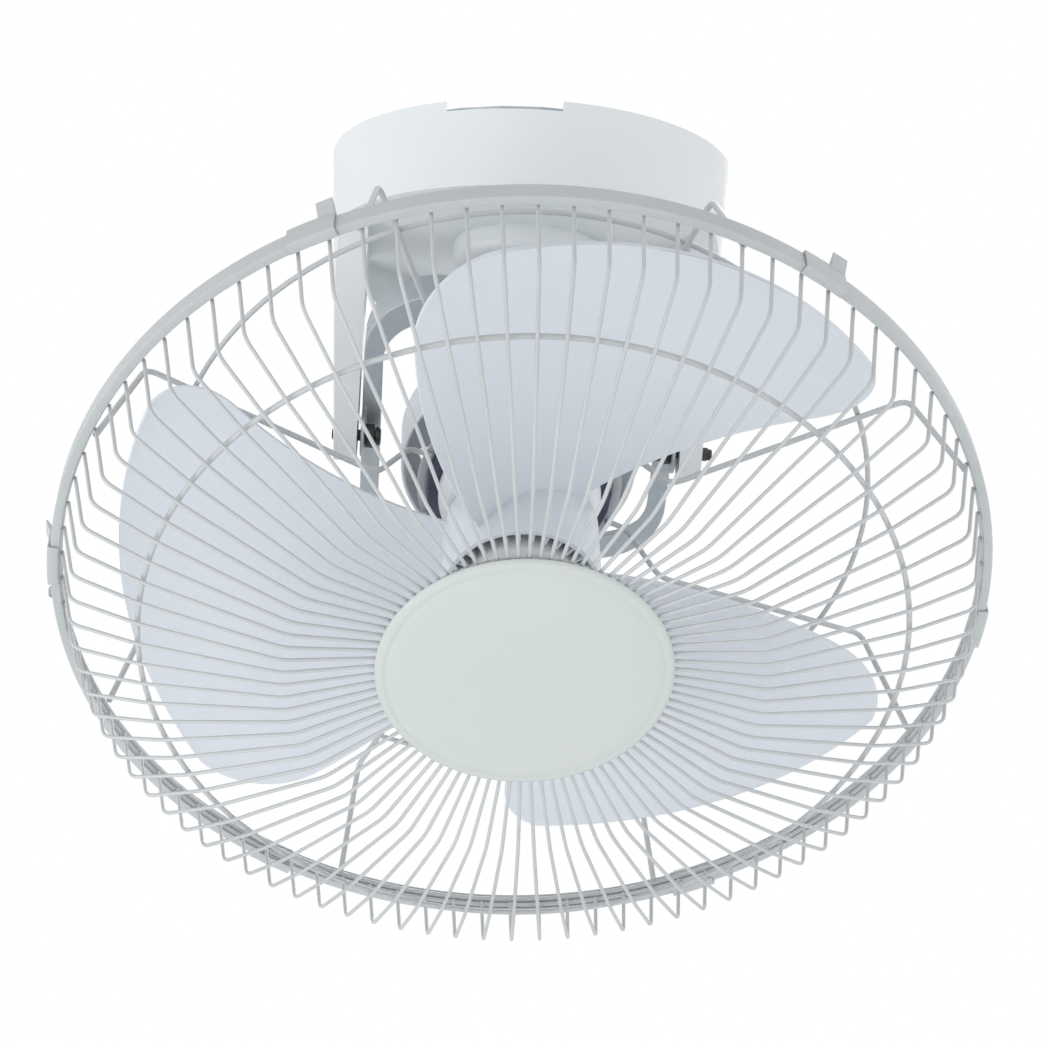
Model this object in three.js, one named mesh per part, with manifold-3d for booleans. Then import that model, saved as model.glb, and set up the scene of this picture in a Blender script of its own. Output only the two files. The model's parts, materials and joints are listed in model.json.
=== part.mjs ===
// Orbital ceiling fan: a caged three-blade fan head that hangs in a gimbal under a ceiling canopy.
// Millimetres. The origin is the centre of the ceiling face, +Z is up, X is the line through the
// canopy's two legs and -Y is the side that the tilted fan head looks at.

import * as THREE from 'three';
import { mergeVertices } from 'three/addons/utils/BufferGeometryUtils.js';
import Module from 'manifold-3d';

const wasm = await Module();
wasm.setup();

// ---------------------------------------------------------------- fits

const SEAT_GAP = 0.3;          // between two pieces that rest on each other
const PIN_CLEARANCE = 0.6;     // around a pin or a shaft that turns in a faceted hole
const WIRE = 2.0;              // thickness of a front guard wire
const SPOKE = 3.4;             // thickness of a rear guard wire

// ---------------------------------------------------------------- ceiling canopy

const CANOPY_RADIUS = 106.5;   // at the ceiling
const CANOPY_WALL = 2.5;
const CANOPY_DEPTH = 44;       // ceiling to the underside of the floor
const NOTCH_WIDTH = 58;
const NOTCH_DEPTH = 5;
const NOTCH_OFFSET = -18;      // the notch sits left of the middle
const SKIRT_DEPTH = 30;        // how far the back wall reaches below the floor
const SKIRT_HALF_WIDTH = 92;
const CUP_RADIUS = 40;
const CUP_DEPTH = 13;
const PLATE_RADIUS = 96;
const PLATE_THICK = 2;
const PLATE_SLOT_RING = 60;    // radius of the ring of fixing slots
const PLATE_SLOT_LENGTH = 14;
const PLATE_SLOT_WIDTH = 5.5;
const CABLE_HOLE_RADIUS = 11;
const CABLE_HOLE_OFFSET = 32;
const CAPACITOR_RADIUS = 9;
const CAPACITOR_LENGTH = 38;

// ---------------------------------------------------------------- canopy legs and hanger fork

const PIVOT_DROP = 153;        // ceiling to the gimbal centre
const LEG_INSIDE = 86.8;       // gimbal centre to the inner side of a leg
const LEG_OUTSIDE = 97.5;      // gimbal centre to the outer side of a leg at its pivot
const LEG_HALF_DEPTH = 13.5;
const LEG_ROOT_HALF_DEPTH = 44;
const LEG_FLARE = 0.6;         // share of the leg over which its root narrows
const FORK_THICK = 2;
const FORK_HALF_WIDTH = 10.5;
const SCREW_RADIUS = 3;
const NUT_RADIUS = 4.6;
const NUT_HEIGHT = 5;
const BUSH_RADIUS = 6.3;
const BUSH_LENGTH = 5;

// ---------------------------------------------------------------- gimbal ring

const RING_HALF_X = 83;
const RING_HALF_Y = 88;
const RING_CORNER = 38;
const RING_THICK = 2;
const RING_WIDTH = 21;
const RING_RAISE = 9.5;        // the strip sits this far behind the two pivot lines
const RING_FLANGE = 8;
const EAR_HALF_WIDTH = 11;
const CROSS_PIN_RADIUS = 4;

// ---------------------------------------------------------------- pose and crank

const PITCH = -40.7;           // degrees about X
const ROLL = -1.5;             // degrees about the ring's own cross pins
const SEAT_SPHERE = 62;        // gimbal centre to the centre of the crank ball
const BALL_RADIUS = 5;
const CRANK_THICK = 4;
const CRANK_HALF_WIDTH = 5;
const BALL_PIN_RADIUS = 2;
const POST_RADIUS = 6;

// ---------------------------------------------------------------- fan head, along its own axis

const SHAFT_RADIUS = 4;
const HUB_RADIUS = 39.5;
const HUB_WALL = 2.6;
const HUB_FRONT = -2;          // all head heights count from the guard's rim plane, rear is plus
const HUB_BACK = 46;
const HUB_FLOOR = 24;
const SPINNER_RADIUS = 28.6;
const SPINNER_HEIGHT = 15;
const MOTOR_GAP = 5;           // hub to motor
const MOTOR_RADIUS = 47.5;
const MOTOR_WALL = 2;
const FRONT_COVER_DEPTH = 25;
const STACK_LENGTH = 17.7;
const ROTOR_RADIUS = 23.7;
const AIR_GAP = 0.6;
const DRUM_RADIUS = 61.5;
const DRUM_LENGTH = 30;
const DRUM_SETBACK = 4;        // rear of the stator stack to the drum's front edge
const DRUM_TO_PIVOT = 20;      // the drum's front edge to the cross pins
const DRUM_VENTS = 8;
const BEARING_RADIUS = 9;
const BEARING_WIDTH = 5;
const GEARBOX_RADIUS = 36;
const GEARBOX_LENGTH = 21;
const GEARBOX_COVER = 5;
const MOTOR_STUB = 11;         // how far the motor shaft reaches into the gearbox
const CRANK_STUB = 6;          // how far the crank's shaft reaches in from the other end

// ---------------------------------------------------------------- blades

const BLADES = 3;
const TIP_RADIUS = 200;
const TIP_CORNER = 38;
const BLADE_THICK = 2.2;
const BLADE_CAMBER = 5;
const HUB_RIBS = 5;
const BLADE_ROWS = 7;
const BLADE_COLUMNS = 6;
const BLADE_FRONT = -3;         // height of the front edge at the mid radius
const BLADE_PHASE = -115;      // degrees, where the first blade's front edge crosses the mid radius
const BLADE_ARC = 79.6;        // degrees from the front edge to the rear edge
const BLADE_SWEEP = 15.5;      // degrees that both edges lean over one mid radius
const BLADE_RISE = 40.4;       // from the front edge back to the rear edge, at the mid radius
const BLADE_MID_RADIUS = 130;

// ---------------------------------------------------------------- guards

const GUARD_RADIUS = 230;
const BAND_WIDTH = 12;
const BAND_THICK = 1;
const BAND_LIP = 4.4;
const RIM_WIRE = 3.8;
const FRONT_WIRES = 90;
const CORNER_INSET = 13.3;     // from the band's outer face in to where a front wire bends
const CORNER_DEPTH = 36.5;     // in front of the rim plane
const MID_RING_INSET = 46;     // from the band's outer face
const MID_RING_DEPTH = 49;
const BULGE_RADIUS = 115;
const BULGE_DEPTH = 66;
const INNER_RING_RADIUS = 66;
const INNER_RING_DEPTH = 58;
const REAR_SPOKES = 8;
const KNEE_RADIUS = 80;
const KNEE_HEIGHT = 50;
const KNEE_REACH = 18;         // radial run from the knee up to the hub plate
const SHOULDER_INSET = 35;     // from the band's outer face
const SHOULDER_HEIGHT = 66;
const REAR_RING_INSET = 17;    // from the shoulder
const SPOKE_BOW = 13;          // how far a spoke bulges past its shoulder
const HUB_PLATE_RADIUS = 57;
const HUB_PLATE_THICK = 2;
const EMBLEM_RADIUS = 74;
const EMBLEM_THICK = 6.5;
const HOOK_PHASE = 30;
const RIM_SIDES = 45;
const CLIPS = 6;
const CLIP_PHASE = 2.4;
const CLIP_WIDTH = 24;
const CLIP_THICK = 1;
const BAND_SCREW_AZIMUTH = 177;

// ---------------------------------------------------------------- places worked out from the above

const motorFront = HUB_BACK + MOTOR_GAP;
const stackFront = motorFront + FRONT_COVER_DEPTH + SEAT_GAP;
const stackBack = stackFront + STACK_LENGTH;
const drumFront = stackBack + DRUM_SETBACK;
const drumBack = drumFront + DRUM_LENGTH;
const pivotHeight = drumFront + DRUM_TO_PIVOT;
const gearboxFront = drumBack + SEAT_GAP;
const gearboxBack = gearboxFront + GEARBOX_LENGTH;
const coverFront = gearboxBack + SEAT_GAP;
const coverBack = coverFront + GEARBOX_COVER;
const forkOutside = LEG_INSIDE - SEAT_GAP;
const forkInside = forkOutside - FORK_THICK;
const canopySlope = (CANOPY_RADIUS - LEG_OUTSIDE) / PIVOT_DROP;
const postNeck = POST_RADIUS - 1 - SEAT_GAP;
const bushInside = RING_HALF_X - RING_THICK - SEAT_GAP - BUSH_LENGTH;
const bossInside = DRUM_RADIUS - 1;
const bossOutside = DRUM_RADIUS + 10;
const carrierInside = MOTOR_RADIUS - 5;
const shaftWay = SHAFT_RADIUS + PIN_CLEARANCE;
const bearingSeat = BEARING_RADIUS + SEAT_GAP;
const plateFront = stackFront + 0.1;
const plateBack = plateFront + HUB_PLATE_THICK;
const plateInside = MOTOR_RADIUS + 0.8;
const rimRadius = GUARD_RADIUS - BAND_THICK - 0.8 - RIM_WIRE / 2;
const rimInside = rimRadius - RIM_WIRE / 2;
const rimOffset = RIM_WIRE / 2 + 0.4;
const cornerRadius = GUARD_RADIUS - CORNER_INSET;
const midRingRadius = GUARD_RADIUS - MID_RING_INSET;
const shoulderRadius = GUARD_RADIUS - SHOULDER_INSET;
const rearRingRadius = shoulderRadius - REAR_RING_INSET;
const quarterTurn = Math.PI / 2;
const degree = Math.PI / 180;

// ---------------------------------------------------------------- finishes

const finish = (color, roughness, metalness = 0) =>
  new THREE.MeshStandardMaterial({ color, roughness, metalness });

const canopyPlastic = finish(0xdde2e4, 0.42);
const headPlastic = finish(0xe4e9ee, 0.38);
const bladePlastic = finish(0xd3d9e3, 0.35);
const emblemPlastic = finish(0xd2d8d5, 0.4);
const spinnerPlastic = finish(0xbdb9c4, 0.45);
const coatedWire = finish(0xcfd0cf, 0.35, 0.2);
const bandSteel = finish(0xbfc0c2, 0.45, 0.3);
const galvanised = finish(0x8f979c, 0.4, 0.85);
const darkNylon = finish(0x24282a, 0.5);
const laminations = finish(0x4c4c5c, 0.55, 0.6);
const copper = finish(0xa8623a, 0.4, 0.8);
const polishedSteel = finish(0xb9bcc0, 0.25, 0.95);
const blackPlastic = finish(0x202224, 0.5);

// ---------------------------------------------------------------- solids

// Turns a three.js geometry into a closed solid with its faces pointing out.
function solid(shape) {
  if (!shape.isBufferGeometry) return shape;
  const bare = shape.clone();
  bare.deleteAttribute('normal');
  bare.deleteAttribute('uv');
  const welded = mergeVertices(bare, 1e-4);
  const spots = welded.attributes.position.array;
  const corners = welded.index.array;
  const faces = [];
  let volume = 0;
  const [a, b, c] = [new THREE.Vector3(), new THREE.Vector3(), new THREE.Vector3()];
  for (let i = 0; i < corners.length; i += 3) {
    const [p, q, r] = [corners[i], corners[i + 1], corners[i + 2]];
    if (p === q || q === r || r === p) continue;
    faces.push([p, q, r]);
    a.fromArray(spots, 3 * p);
    b.fromArray(spots, 3 * q);
    c.fromArray(spots, 3 * r);
    volume += a.dot(b.cross(c));
  }
  const outward = faces.map(([p, q, r]) => (volume < 0 ? [p, r, q] : [p, q, r]));
  return new wasm.Manifold(new wasm.Mesh({
    numProp: 3,
    vertProperties: new Float32Array(spots),
    triVerts: new Uint32Array(outward.flat()),
  }));
}

const joined = (...shapes) => shapes.map(solid).reduce((whole, part) => whole.add(part));
const cut = (...shapes) => shapes.map(solid).reduce((rest, tool) => rest.subtract(tool));
const common = (...shapes) => shapes.map(solid).reduce((whole, part) => whole.intersect(part));

// Hangs a finished solid in the scene under its own name.
function hang(parent, name, shape, material) {
  const { vertProperties, triVerts } = solid(shape).getMesh();
  const geometry = new THREE.BufferGeometry();
  geometry.setAttribute('position', new THREE.BufferAttribute(vertProperties, 3));
  geometry.setIndex(new THREE.BufferAttribute(triVerts, 1));
  geometry.computeVertexNormals();
  const mesh = new THREE.Mesh(geometry, material);
  mesh.name = name;
  parent.add(mesh);
  return mesh;
}

// ---------------------------------------------------------------- basic shapes

// A profile of [radius, height] points spun round the Z axis.
function turned(profile, sides = 24) {
  const points = profile.map(([radius, height]) => new THREE.Vector2(radius, height));
  const onAxis = profile[0][0] === 0 && profile[profile.length - 1][0] === 0;
  if (!onAxis) points.push(points[0].clone());
  return new THREE.LatheGeometry(points, sides).rotateX(quarterTurn);
}

const disc = (radius, low, high, sides) =>
  turned([[0, low], [radius, low], [radius, high], [0, high]], sides);

const tube = (inner, outer, low, high, sides) =>
  turned([[inner, low], [outer, low], [outer, high], [inner, high]], sides);

// A ring of square section round the Z axis.
const wireRing = (radius, middle, width, sides) =>
  tube(radius - width / 2, radius + width / 2, middle - width / 2, middle + width / 2, sides);

// A block between two values along each axis.
function block(...spans) {
  const size = spans.map(([low, high]) => high - low);
  const middle = spans.map(([low, high]) => (high + low) / 2);
  return new THREE.BoxGeometry(...size).translate(...middle);
}

// An outline in the XY plane, raised from low to high.
function plate(outline, low, high, curveSegments = 4) {
  const settings = { depth: high - low, bevelEnabled: false, curveSegments };
  return new THREE.ExtrudeGeometry(outline, settings).translate(0, 0, low);
}

// Outlines are drawn flat; these stand them up facing along X or along Y, with their second
// coordinate upright.
const facingX = (geometry) => geometry.rotateX(quarterTurn).rotateZ(quarterTurn);
const facingY = (geometry) => geometry.rotateX(quarterTurn).rotateZ(Math.PI);

// Lays a shape made along Z down along X or along Y.
const alongX = (geometry) => geometry.rotateY(quarterTurn);
const alongY = (geometry) => geometry.rotateX(-quarterTurn);

// Copies of a geometry, evenly spaced round the Z axis from a first azimuth in degrees.
const around = (count, geometry, first = 0) => Array.from({ length: count }, (_, i) =>
  geometry.clone().rotateZ((first + (i * 360) / count) * degree));

// A bent wire of square section whose path is a list of [radius, height] points in one plane.
function bentWire(path, width) {
  const points = path.map(([radius, height]) => new THREE.Vector2(radius, height));
  const side = points.map((point, i) => {
    const before = points[Math.max(i - 1, 0)];
    const after = points[Math.min(i + 1, points.length - 1)];
    const into = (i > 0 ? point.clone().sub(before) : after.clone().sub(point)).normalize();
    const out = (after !== point ? after.clone().sub(point) : into.clone()).normalize();
    const mitre = into.clone().add(out).normalize();
    const normal = new THREE.Vector2(-mitre.y, mitre.x);
    return normal.multiplyScalar(width / 2 / mitre.dot(into));
  });
  const left = points.map((point, i) => point.clone().add(side[i]));
  const right = points.map((point, i) => point.clone().sub(side[i])).reverse();
  return plate(new THREE.Shape([...left, ...right]), -width / 2, width / 2).rotateX(quarterTurn);
}

// ---------------------------------------------------------------- the moving frames

const fan = new THREE.Group();
const gimbal = new THREE.Group();
const roll = new THREE.Group();
const head = new THREE.Group();

gimbal.position.z = -PIVOT_DROP;
gimbal.rotation.x = PITCH * degree;
roll.rotation.y = ROLL * degree;
head.position.z = -pivotHeight;
fan.add(gimbal);
gimbal.add(roll);
roll.add(head);

// ---------------------------------------------------------------- canopy

const floorTop = -CANOPY_DEPTH + CANOPY_WALL;
const cupBottom = -CANOPY_DEPTH - CUP_DEPTH;
const canopyBottom = -PIVOT_DROP - LEG_HALF_DEPTH;
const reach = 1.5 * CANOPY_RADIUS;

// The cone that the drum, the back skirt and both legs share.
function canopyCone(inset, low, high) {
  const radiusAt = (z) => CANOPY_RADIUS + canopySlope * z - inset;
  return turned([[0, low], [radiusAt(low), low], [radiusAt(high), high], [0, high]], 36);
}

// A leg seen from the side: a wide root, a hollow curve and a round end on the pivot.
function legOutline(inset, top) {
  const half = LEG_HALF_DEPTH - inset;
  const root = LEG_ROOT_HALF_DEPTH - inset;
  const waist = -CANOPY_DEPTH - (PIVOT_DROP - CANOPY_DEPTH) * LEG_FLARE;
  const outline = new THREE.Shape();
  outline.moveTo(-root, top);
  outline.lineTo(-root, -CANOPY_DEPTH);
  outline.quadraticCurveTo(-half, -CANOPY_DEPTH - inset, -half, waist);
  outline.lineTo(-half, -PIVOT_DROP);
  outline.absarc(0, -PIVOT_DROP, half, Math.PI, 2 * Math.PI, false);
  outline.lineTo(half, waist);
  outline.quadraticCurveTo(half, -CANOPY_DEPTH - inset, root, -CANOPY_DEPTH);
  outline.lineTo(root, top);
  return outline;
}

// The outer end of an X axis feature, on the side that the sign names.
const onSide = (side, near, far) => (side > 0 ? [near, far] : [-far, -near]);

function makeLeg(side) {
  const prism = facingX(plate(legOutline(0, -CANOPY_DEPTH + 1), ...onSide(side, LEG_INSIDE, reach)));
  const room = facingX(plate(legOutline(CANOPY_WALL, -CANOPY_DEPTH),
    ...onSide(side, LEG_INSIDE - 1, reach)));
  const body = common(prism, canopyCone(0, canopyBottom - 1, 0));
  const channel = common(room, canopyCone(CANOPY_WALL, canopyBottom - 1, 0));
  const boss = alongX(disc(SCREW_RADIUS + 3.5, ...onSide(side, LEG_INSIDE, LEG_OUTSIDE - 1), 14))
    .translate(0, 0, -PIVOT_DROP);
  return joined(cut(body, channel), boss);
}

// The wall behind the cup that hangs below the floor and arches up to the legs.
function makeSkirt() {
  const bottom = -CANOPY_DEPTH - SKIRT_DEPTH;
  const arch = new THREE.Shape();
  arch.moveTo(-SKIRT_HALF_WIDTH, -CANOPY_DEPTH + 1);
  arch.lineTo(-SKIRT_HALF_WIDTH, bottom * 0.8);
  arch.quadraticCurveTo(-SKIRT_HALF_WIDTH * 0.7, bottom, -SKIRT_HALF_WIDTH * 0.3, bottom);
  arch.lineTo(SKIRT_HALF_WIDTH * 0.3, bottom);
  arch.quadraticCurveTo(SKIRT_HALF_WIDTH * 0.7, bottom, SKIRT_HALF_WIDTH, bottom * 0.8);
  arch.lineTo(SKIRT_HALF_WIDTH, -CANOPY_DEPTH + 1);
  const wall = cut(canopyCone(0, bottom - 1, 0), canopyCone(CANOPY_WALL, bottom - 2, 1));
  return common(wall, facingY(plate(arch, 0, reach)));
}

function makeCanopyShell() {
  const drum = canopyCone(0, -CANOPY_DEPTH, 0);
  const round = CUP_DEPTH * 0.35;
  const cup = turned([
    [0, cupBottom], [CUP_RADIUS - round, cupBottom],
    [CUP_RADIUS - round * 0.3, cupBottom + round * 0.3],
    [CUP_RADIUS, cupBottom + round], [CUP_RADIUS, floorTop], [0, floorTop],
  ], 24);
  const whole = joined(drum, makeLeg(-1), makeLeg(1), makeSkirt(), cup);

  const room = canopyCone(CANOPY_WALL, floorTop, 1);
  const cupRoom = disc(CUP_RADIUS - CANOPY_WALL, cupBottom + CANOPY_WALL, floorTop + 1, 24);
  const notch = block([NOTCH_OFFSET - NOTCH_WIDTH / 2, NOTCH_OFFSET + NOTCH_WIDTH / 2],
    [-reach, -CANOPY_RADIUS / 2], [-NOTCH_DEPTH, 1]);
  const postHole = disc(postNeck + SEAT_GAP, cupBottom - 1, cupBottom + CANOPY_WALL + 1, 16);
  const pivotHole = alongX(disc(SCREW_RADIUS + SEAT_GAP, -reach, reach, 16))
    .translate(0, 0, -PIVOT_DROP);
  const armSlot = (side) => block(
    onSide(side, forkInside - SEAT_GAP, LEG_INSIDE + 1),
    [-FORK_HALF_WIDTH - SEAT_GAP, FORK_HALF_WIDTH + SEAT_GAP],
    [-CANOPY_DEPTH - 1, floorTop + 1],
  );
  return cut(whole, room, cupRoom, notch, postHole, pivotHole, armSlot(-1), armSlot(1));
}

function makeCeilingPlate() {
  const slot = new THREE.Shape();
  const half = PLATE_SLOT_LENGTH / 2;
  slot.absarc(0, half, PLATE_SLOT_WIDTH / 2, 0, Math.PI, false);
  slot.absarc(0, -half, PLATE_SLOT_WIDTH / 2, Math.PI, 2 * Math.PI, false);
  const slotTool = plate(slot, -PLATE_THICK - 1, 1, 3).translate(PLATE_SLOT_RING, 0, 0);
  const cableHole = disc(CABLE_HOLE_RADIUS, -PLATE_THICK - 1, 1, 14)
    .translate(0, CABLE_HOLE_OFFSET, 0);
  return cut(disc(PLATE_RADIUS, -PLATE_THICK, 0, 30), cableHole, ...around(4, slotTool, 45));
}

function makeHangerFork() {
  const top = -PLATE_THICK - SEAT_GAP;
  const bridge = block([-forkOutside, forkOutside], [-FORK_HALF_WIDTH, FORK_HALF_WIDTH],
    [top - FORK_THICK, top]);
  const outline = new THREE.Shape();
  outline.moveTo(-FORK_HALF_WIDTH, top);
  outline.lineTo(-FORK_HALF_WIDTH, -PIVOT_DROP);
  outline.absarc(0, -PIVOT_DROP, FORK_HALF_WIDTH, Math.PI, 2 * Math.PI, false);
  outline.lineTo(FORK_HALF_WIDTH, top);
  const arm = (side) => facingX(plate(outline, ...onSide(side, forkInside, forkOutside)));
  const hole = alongX(disc(SCREW_RADIUS + SEAT_GAP, -reach, reach, 16)).translate(0, 0, -PIVOT_DROP);
  return cut(joined(bridge, arm(-1), arm(1)), hole);
}

// A pivot screw from its inner head, through ring, fork and leg, to its outer nut.
function makePivotScrew(side) {
  const headOutside = bushInside - SEAT_GAP;
  const nutInside = LEG_OUTSIDE + SEAT_GAP;
  const profile = [
    [0, headOutside - 3], [SCREW_RADIUS + 2, headOutside - 3], [SCREW_RADIUS + 2, headOutside],
    [SCREW_RADIUS, headOutside], [SCREW_RADIUS, nutInside], [NUT_RADIUS, nutInside],
    [NUT_RADIUS, nutInside + NUT_HEIGHT], [0, nutInside + NUT_HEIGHT],
  ];
  return alongX(turned(profile, 10)).scale(side, 1, 1).translate(0, 0, -PIVOT_DROP);
}

// The stud in the cup whose dished foot is the seat of the crank ball.
function makeOrbitSeat() {
  const foot = -PIVOT_DROP + SEAT_SPHERE + BALL_RADIUS + PIN_CLEARANCE;
  const flange = cupBottom + CANOPY_WALL + SEAT_GAP;
  return turned([
    [0, foot + 0.6], [POST_RADIUS + 3, foot],
    [POST_RADIUS + 3, foot + 3], [POST_RADIUS, foot + 6], [POST_RADIUS, cupBottom - SEAT_GAP],
    [postNeck, cupBottom - SEAT_GAP], [postNeck, flange], [POST_RADIUS + 4, flange],
    [POST_RADIUS + 4, flange + 3], [0, flange + 3],
  ], 14);
}

hang(fan, 'ceiling_plate', makeCeilingPlate(), galvanised);
hang(fan, 'canopy_shell', makeCanopyShell(), canopyPlastic);
hang(fan, 'hanger_fork', makeHangerFork(), galvanised);
hang(fan, 'pivot_screw_left', makePivotScrew(-1), blackPlastic);
hang(fan, 'pivot_screw_right', makePivotScrew(1), blackPlastic);
hang(fan, 'orbit_seat', makeOrbitSeat(), darkNylon);

// The terminal block stands on the canopy floor behind the cup, the capacitor lies in front.
function makeTerminalBlock() {
  const near = CUP_RADIUS + 8;
  const depth = 14;
  const floor = floorTop + SEAT_GAP;
  const pole = 11;
  const body = block([-2 * pole, 2 * pole], [near, near + depth], [floor, floor + depth]);
  const ways = [-1.5, -0.5, 0.5, 1.5].map((place) => block(
    [place * pole - 3, place * pole + 3], [near - 1, near + depth - 4], [floor + 4, floor + 9]));
  return cut(body, ...ways);
}

hang(fan, 'terminal_block', makeTerminalBlock(), headPlastic);
const capacitor = alongX(disc(CAPACITOR_RADIUS, -CAPACITOR_LENGTH / 2, CAPACITOR_LENGTH / 2, 16))
  .translate(0, -CUP_RADIUS - CAPACITOR_RADIUS - 6, floorTop + SEAT_GAP + CAPACITOR_RADIUS);
hang(fan, 'capacitor', capacitor, blackPlastic);

// ---------------------------------------------------------------- gimbal ring

function roundedRectangle(inset) {
  const x = RING_HALF_X - RING_CORNER;
  const y = RING_HALF_Y - RING_CORNER;
  const radius = RING_CORNER - inset;
  const outline = new THREE.Shape();
  outline.absarc(x, y, radius, 0, quarterTurn, false);
  outline.absarc(-x, y, radius, quarterTurn, 2 * quarterTurn, false);
  outline.absarc(-x, -y, radius, 2 * quarterTurn, 3 * quarterTurn, false);
  outline.absarc(x, -y, radius, 3 * quarterTurn, 4 * quarterTurn, false);
  return outline;
}

// A pressed steel strip with an inward flange at its front and four ears for the pivots.
function makeGimbalRing() {
  const front = RING_RAISE + RING_THICK;
  const back = RING_RAISE + RING_WIDTH;
  const frame = plate(roundedRectangle(0), RING_RAISE, back);
  const room = plate(roundedRectangle(RING_THICK), front, back + 1);
  const window = plate(roundedRectangle(RING_THICK + RING_FLANGE), RING_RAISE - 1, back);
  const ear = new THREE.Shape();
  ear.moveTo(EAR_HALF_WIDTH, front);
  ear.lineTo(-EAR_HALF_WIDTH, front);
  ear.lineTo(-EAR_HALF_WIDTH, 0);
  ear.absarc(0, 0, EAR_HALF_WIDTH, Math.PI, 2 * Math.PI, false);
  const ears = [-1, 1].flatMap((side) => [
    facingX(plate(ear, ...onSide(side, RING_HALF_X - RING_THICK, RING_HALF_X))),
    facingY(plate(ear, ...onSide(side, RING_HALF_Y - RING_THICK, RING_HALF_Y))),
  ]);
  const sideHole = alongX(disc(SCREW_RADIUS + PIN_CLEARANCE, -reach, reach, 12));
  const endHole = alongY(disc(CROSS_PIN_RADIUS + SEAT_GAP, -reach, reach, 12));
  return cut(joined(cut(frame, room, window), ...ears), sideHole, endHole);
}

function makePivotBush(side) {
  const bore = SCREW_RADIUS + PIN_CLEARANCE;
  return alongX(tube(bore, BUSH_RADIUS, bushInside, bushInside + BUSH_LENGTH, 12)).scale(side, 1, 1);
}

// A cross pin: nose in the drum's boss, collar inside the ear, head outside it.
function makeCrossPin(side) {
  const outside = RING_HALF_Y + SEAT_GAP;
  const collar = RING_HALF_Y - RING_THICK - SEAT_GAP;
  const pin = turned([
    [0, bossInside + 3], [CROSS_PIN_RADIUS, bossInside + 3], [CROSS_PIN_RADIUS, collar - 4],
    [CROSS_PIN_RADIUS + 3, collar - 4], [CROSS_PIN_RADIUS + 3, collar], [CROSS_PIN_RADIUS, collar],
    [CROSS_PIN_RADIUS, outside], [CROSS_PIN_RADIUS + 2.5, outside],
    [CROSS_PIN_RADIUS + 2.5, outside + 2.5], [0, outside + 2.5],
  ], 10);
  return alongY(pin).scale(1, side, 1);
}

hang(gimbal, 'gimbal_ring', makeGimbalRing(), galvanised);
hang(gimbal, 'pivot_bush_left', makePivotBush(-1), darkNylon);
hang(gimbal, 'pivot_bush_right', makePivotBush(1), darkNylon);
hang(gimbal, 'cross_pin_front', makeCrossPin(-1), polishedSteel);
hang(gimbal, 'cross_pin_back', makeCrossPin(1), polishedSteel);

// ---------------------------------------------------------------- motor

// A domed cover with a bearing boss inside its nose and four lugs on its rear edge.
function makeMotorFrontCover() {
  const back = motorFront + FRONT_COVER_DEPTH;
  const knee = motorFront + FRONT_COVER_DEPTH * 0.3;
  const bossBack = motorFront + MOTOR_WALL + BEARING_WIDTH + 1;
  const cover = turned([
    [shaftWay + 2, motorFront], [MOTOR_RADIUS * 0.62, motorFront + 1], [MOTOR_RADIUS * 0.9, knee],
    [MOTOR_RADIUS, back - 5], [MOTOR_RADIUS, back],
    [MOTOR_RADIUS - MOTOR_WALL, back], [MOTOR_RADIUS * 0.9 - MOTOR_WALL, knee + 1],
    [bearingSeat + MOTOR_WALL, motorFront + MOTOR_WALL], [bearingSeat + MOTOR_WALL, bossBack],
    [bearingSeat, bossBack], [bearingSeat, motorFront + MOTOR_WALL],
    [shaftWay + 2, motorFront + MOTOR_WALL],
  ], 20);
  const lug = block([MOTOR_RADIUS - 1.5, HUB_PLATE_RADIUS - 2], [-6, 6], [back - 4, back]);
  return joined(cover, ...around(4, lug, 45));
}

// The drum behind the stator: vents in its rear wall, bosses for the cross pins on its sides.
function makeMotorRearCover() {
  const wallFront = drumBack - MOTOR_WALL;
  const inner = DRUM_RADIUS - MOTOR_WALL;
  const drum = turned([
    [DRUM_RADIUS, drumFront], [DRUM_RADIUS, drumBack], [shaftWay + 1, drumBack],
    [shaftWay + 1, wallFront], [bearingSeat, wallFront], [bearingSeat, wallFront - BEARING_WIDTH],
    [bearingSeat + MOTOR_WALL, wallFront - BEARING_WIDTH], [bearingSeat + MOTOR_WALL, wallFront],
    [carrierInside, wallFront], [carrierInside, stackBack + SEAT_GAP],
    [carrierInside + MOTOR_WALL, stackBack + SEAT_GAP], [carrierInside + MOTOR_WALL, wallFront],
    [inner, wallFront], [inner, drumFront],
  ], 28);
  const vent = block([carrierInside + MOTOR_WALL + 1.5, inner - 2], [-9, 9],
    [wallFront - 1, drumBack + 1]);
  const pinBoss = alongY(disc(CROSS_PIN_RADIUS + 4.5, bossInside, bossOutside, 14));
  const pinHole = alongY(disc(CROSS_PIN_RADIUS + PIN_CLEARANCE, bossInside + 2, bossOutside + 1, 14));
  const bosses = around(2, pinBoss.translate(0, 0, pivotHeight));
  const holes = around(2, pinHole.translate(0, 0, pivotHeight));
  return cut(joined(drum, ...bosses), ...around(DRUM_VENTS, vent, 180 / DRUM_VENTS), ...holes);
}

function makeStator() {
  const bore = ROTOR_RADIUS + AIR_GAP;
  return tube(bore, MOTOR_RADIUS, stackFront, stackBack, 28);
}

function makeWinding(low, high) {
  const bulge = (high - low) * 0.35;
  const inner = ROTOR_RADIUS + 3;
  const outer = MOTOR_RADIUS - 8;
  return turned([
    [inner, low + bulge], [inner + bulge, low], [outer - bulge, low], [outer, low + bulge],
    [outer, high], [inner, high],
  ], 14);
}

const bearing = (low) => tube(SHAFT_RADIUS + SEAT_GAP, BEARING_RADIUS, low, low + BEARING_WIDTH, 14);

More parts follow.
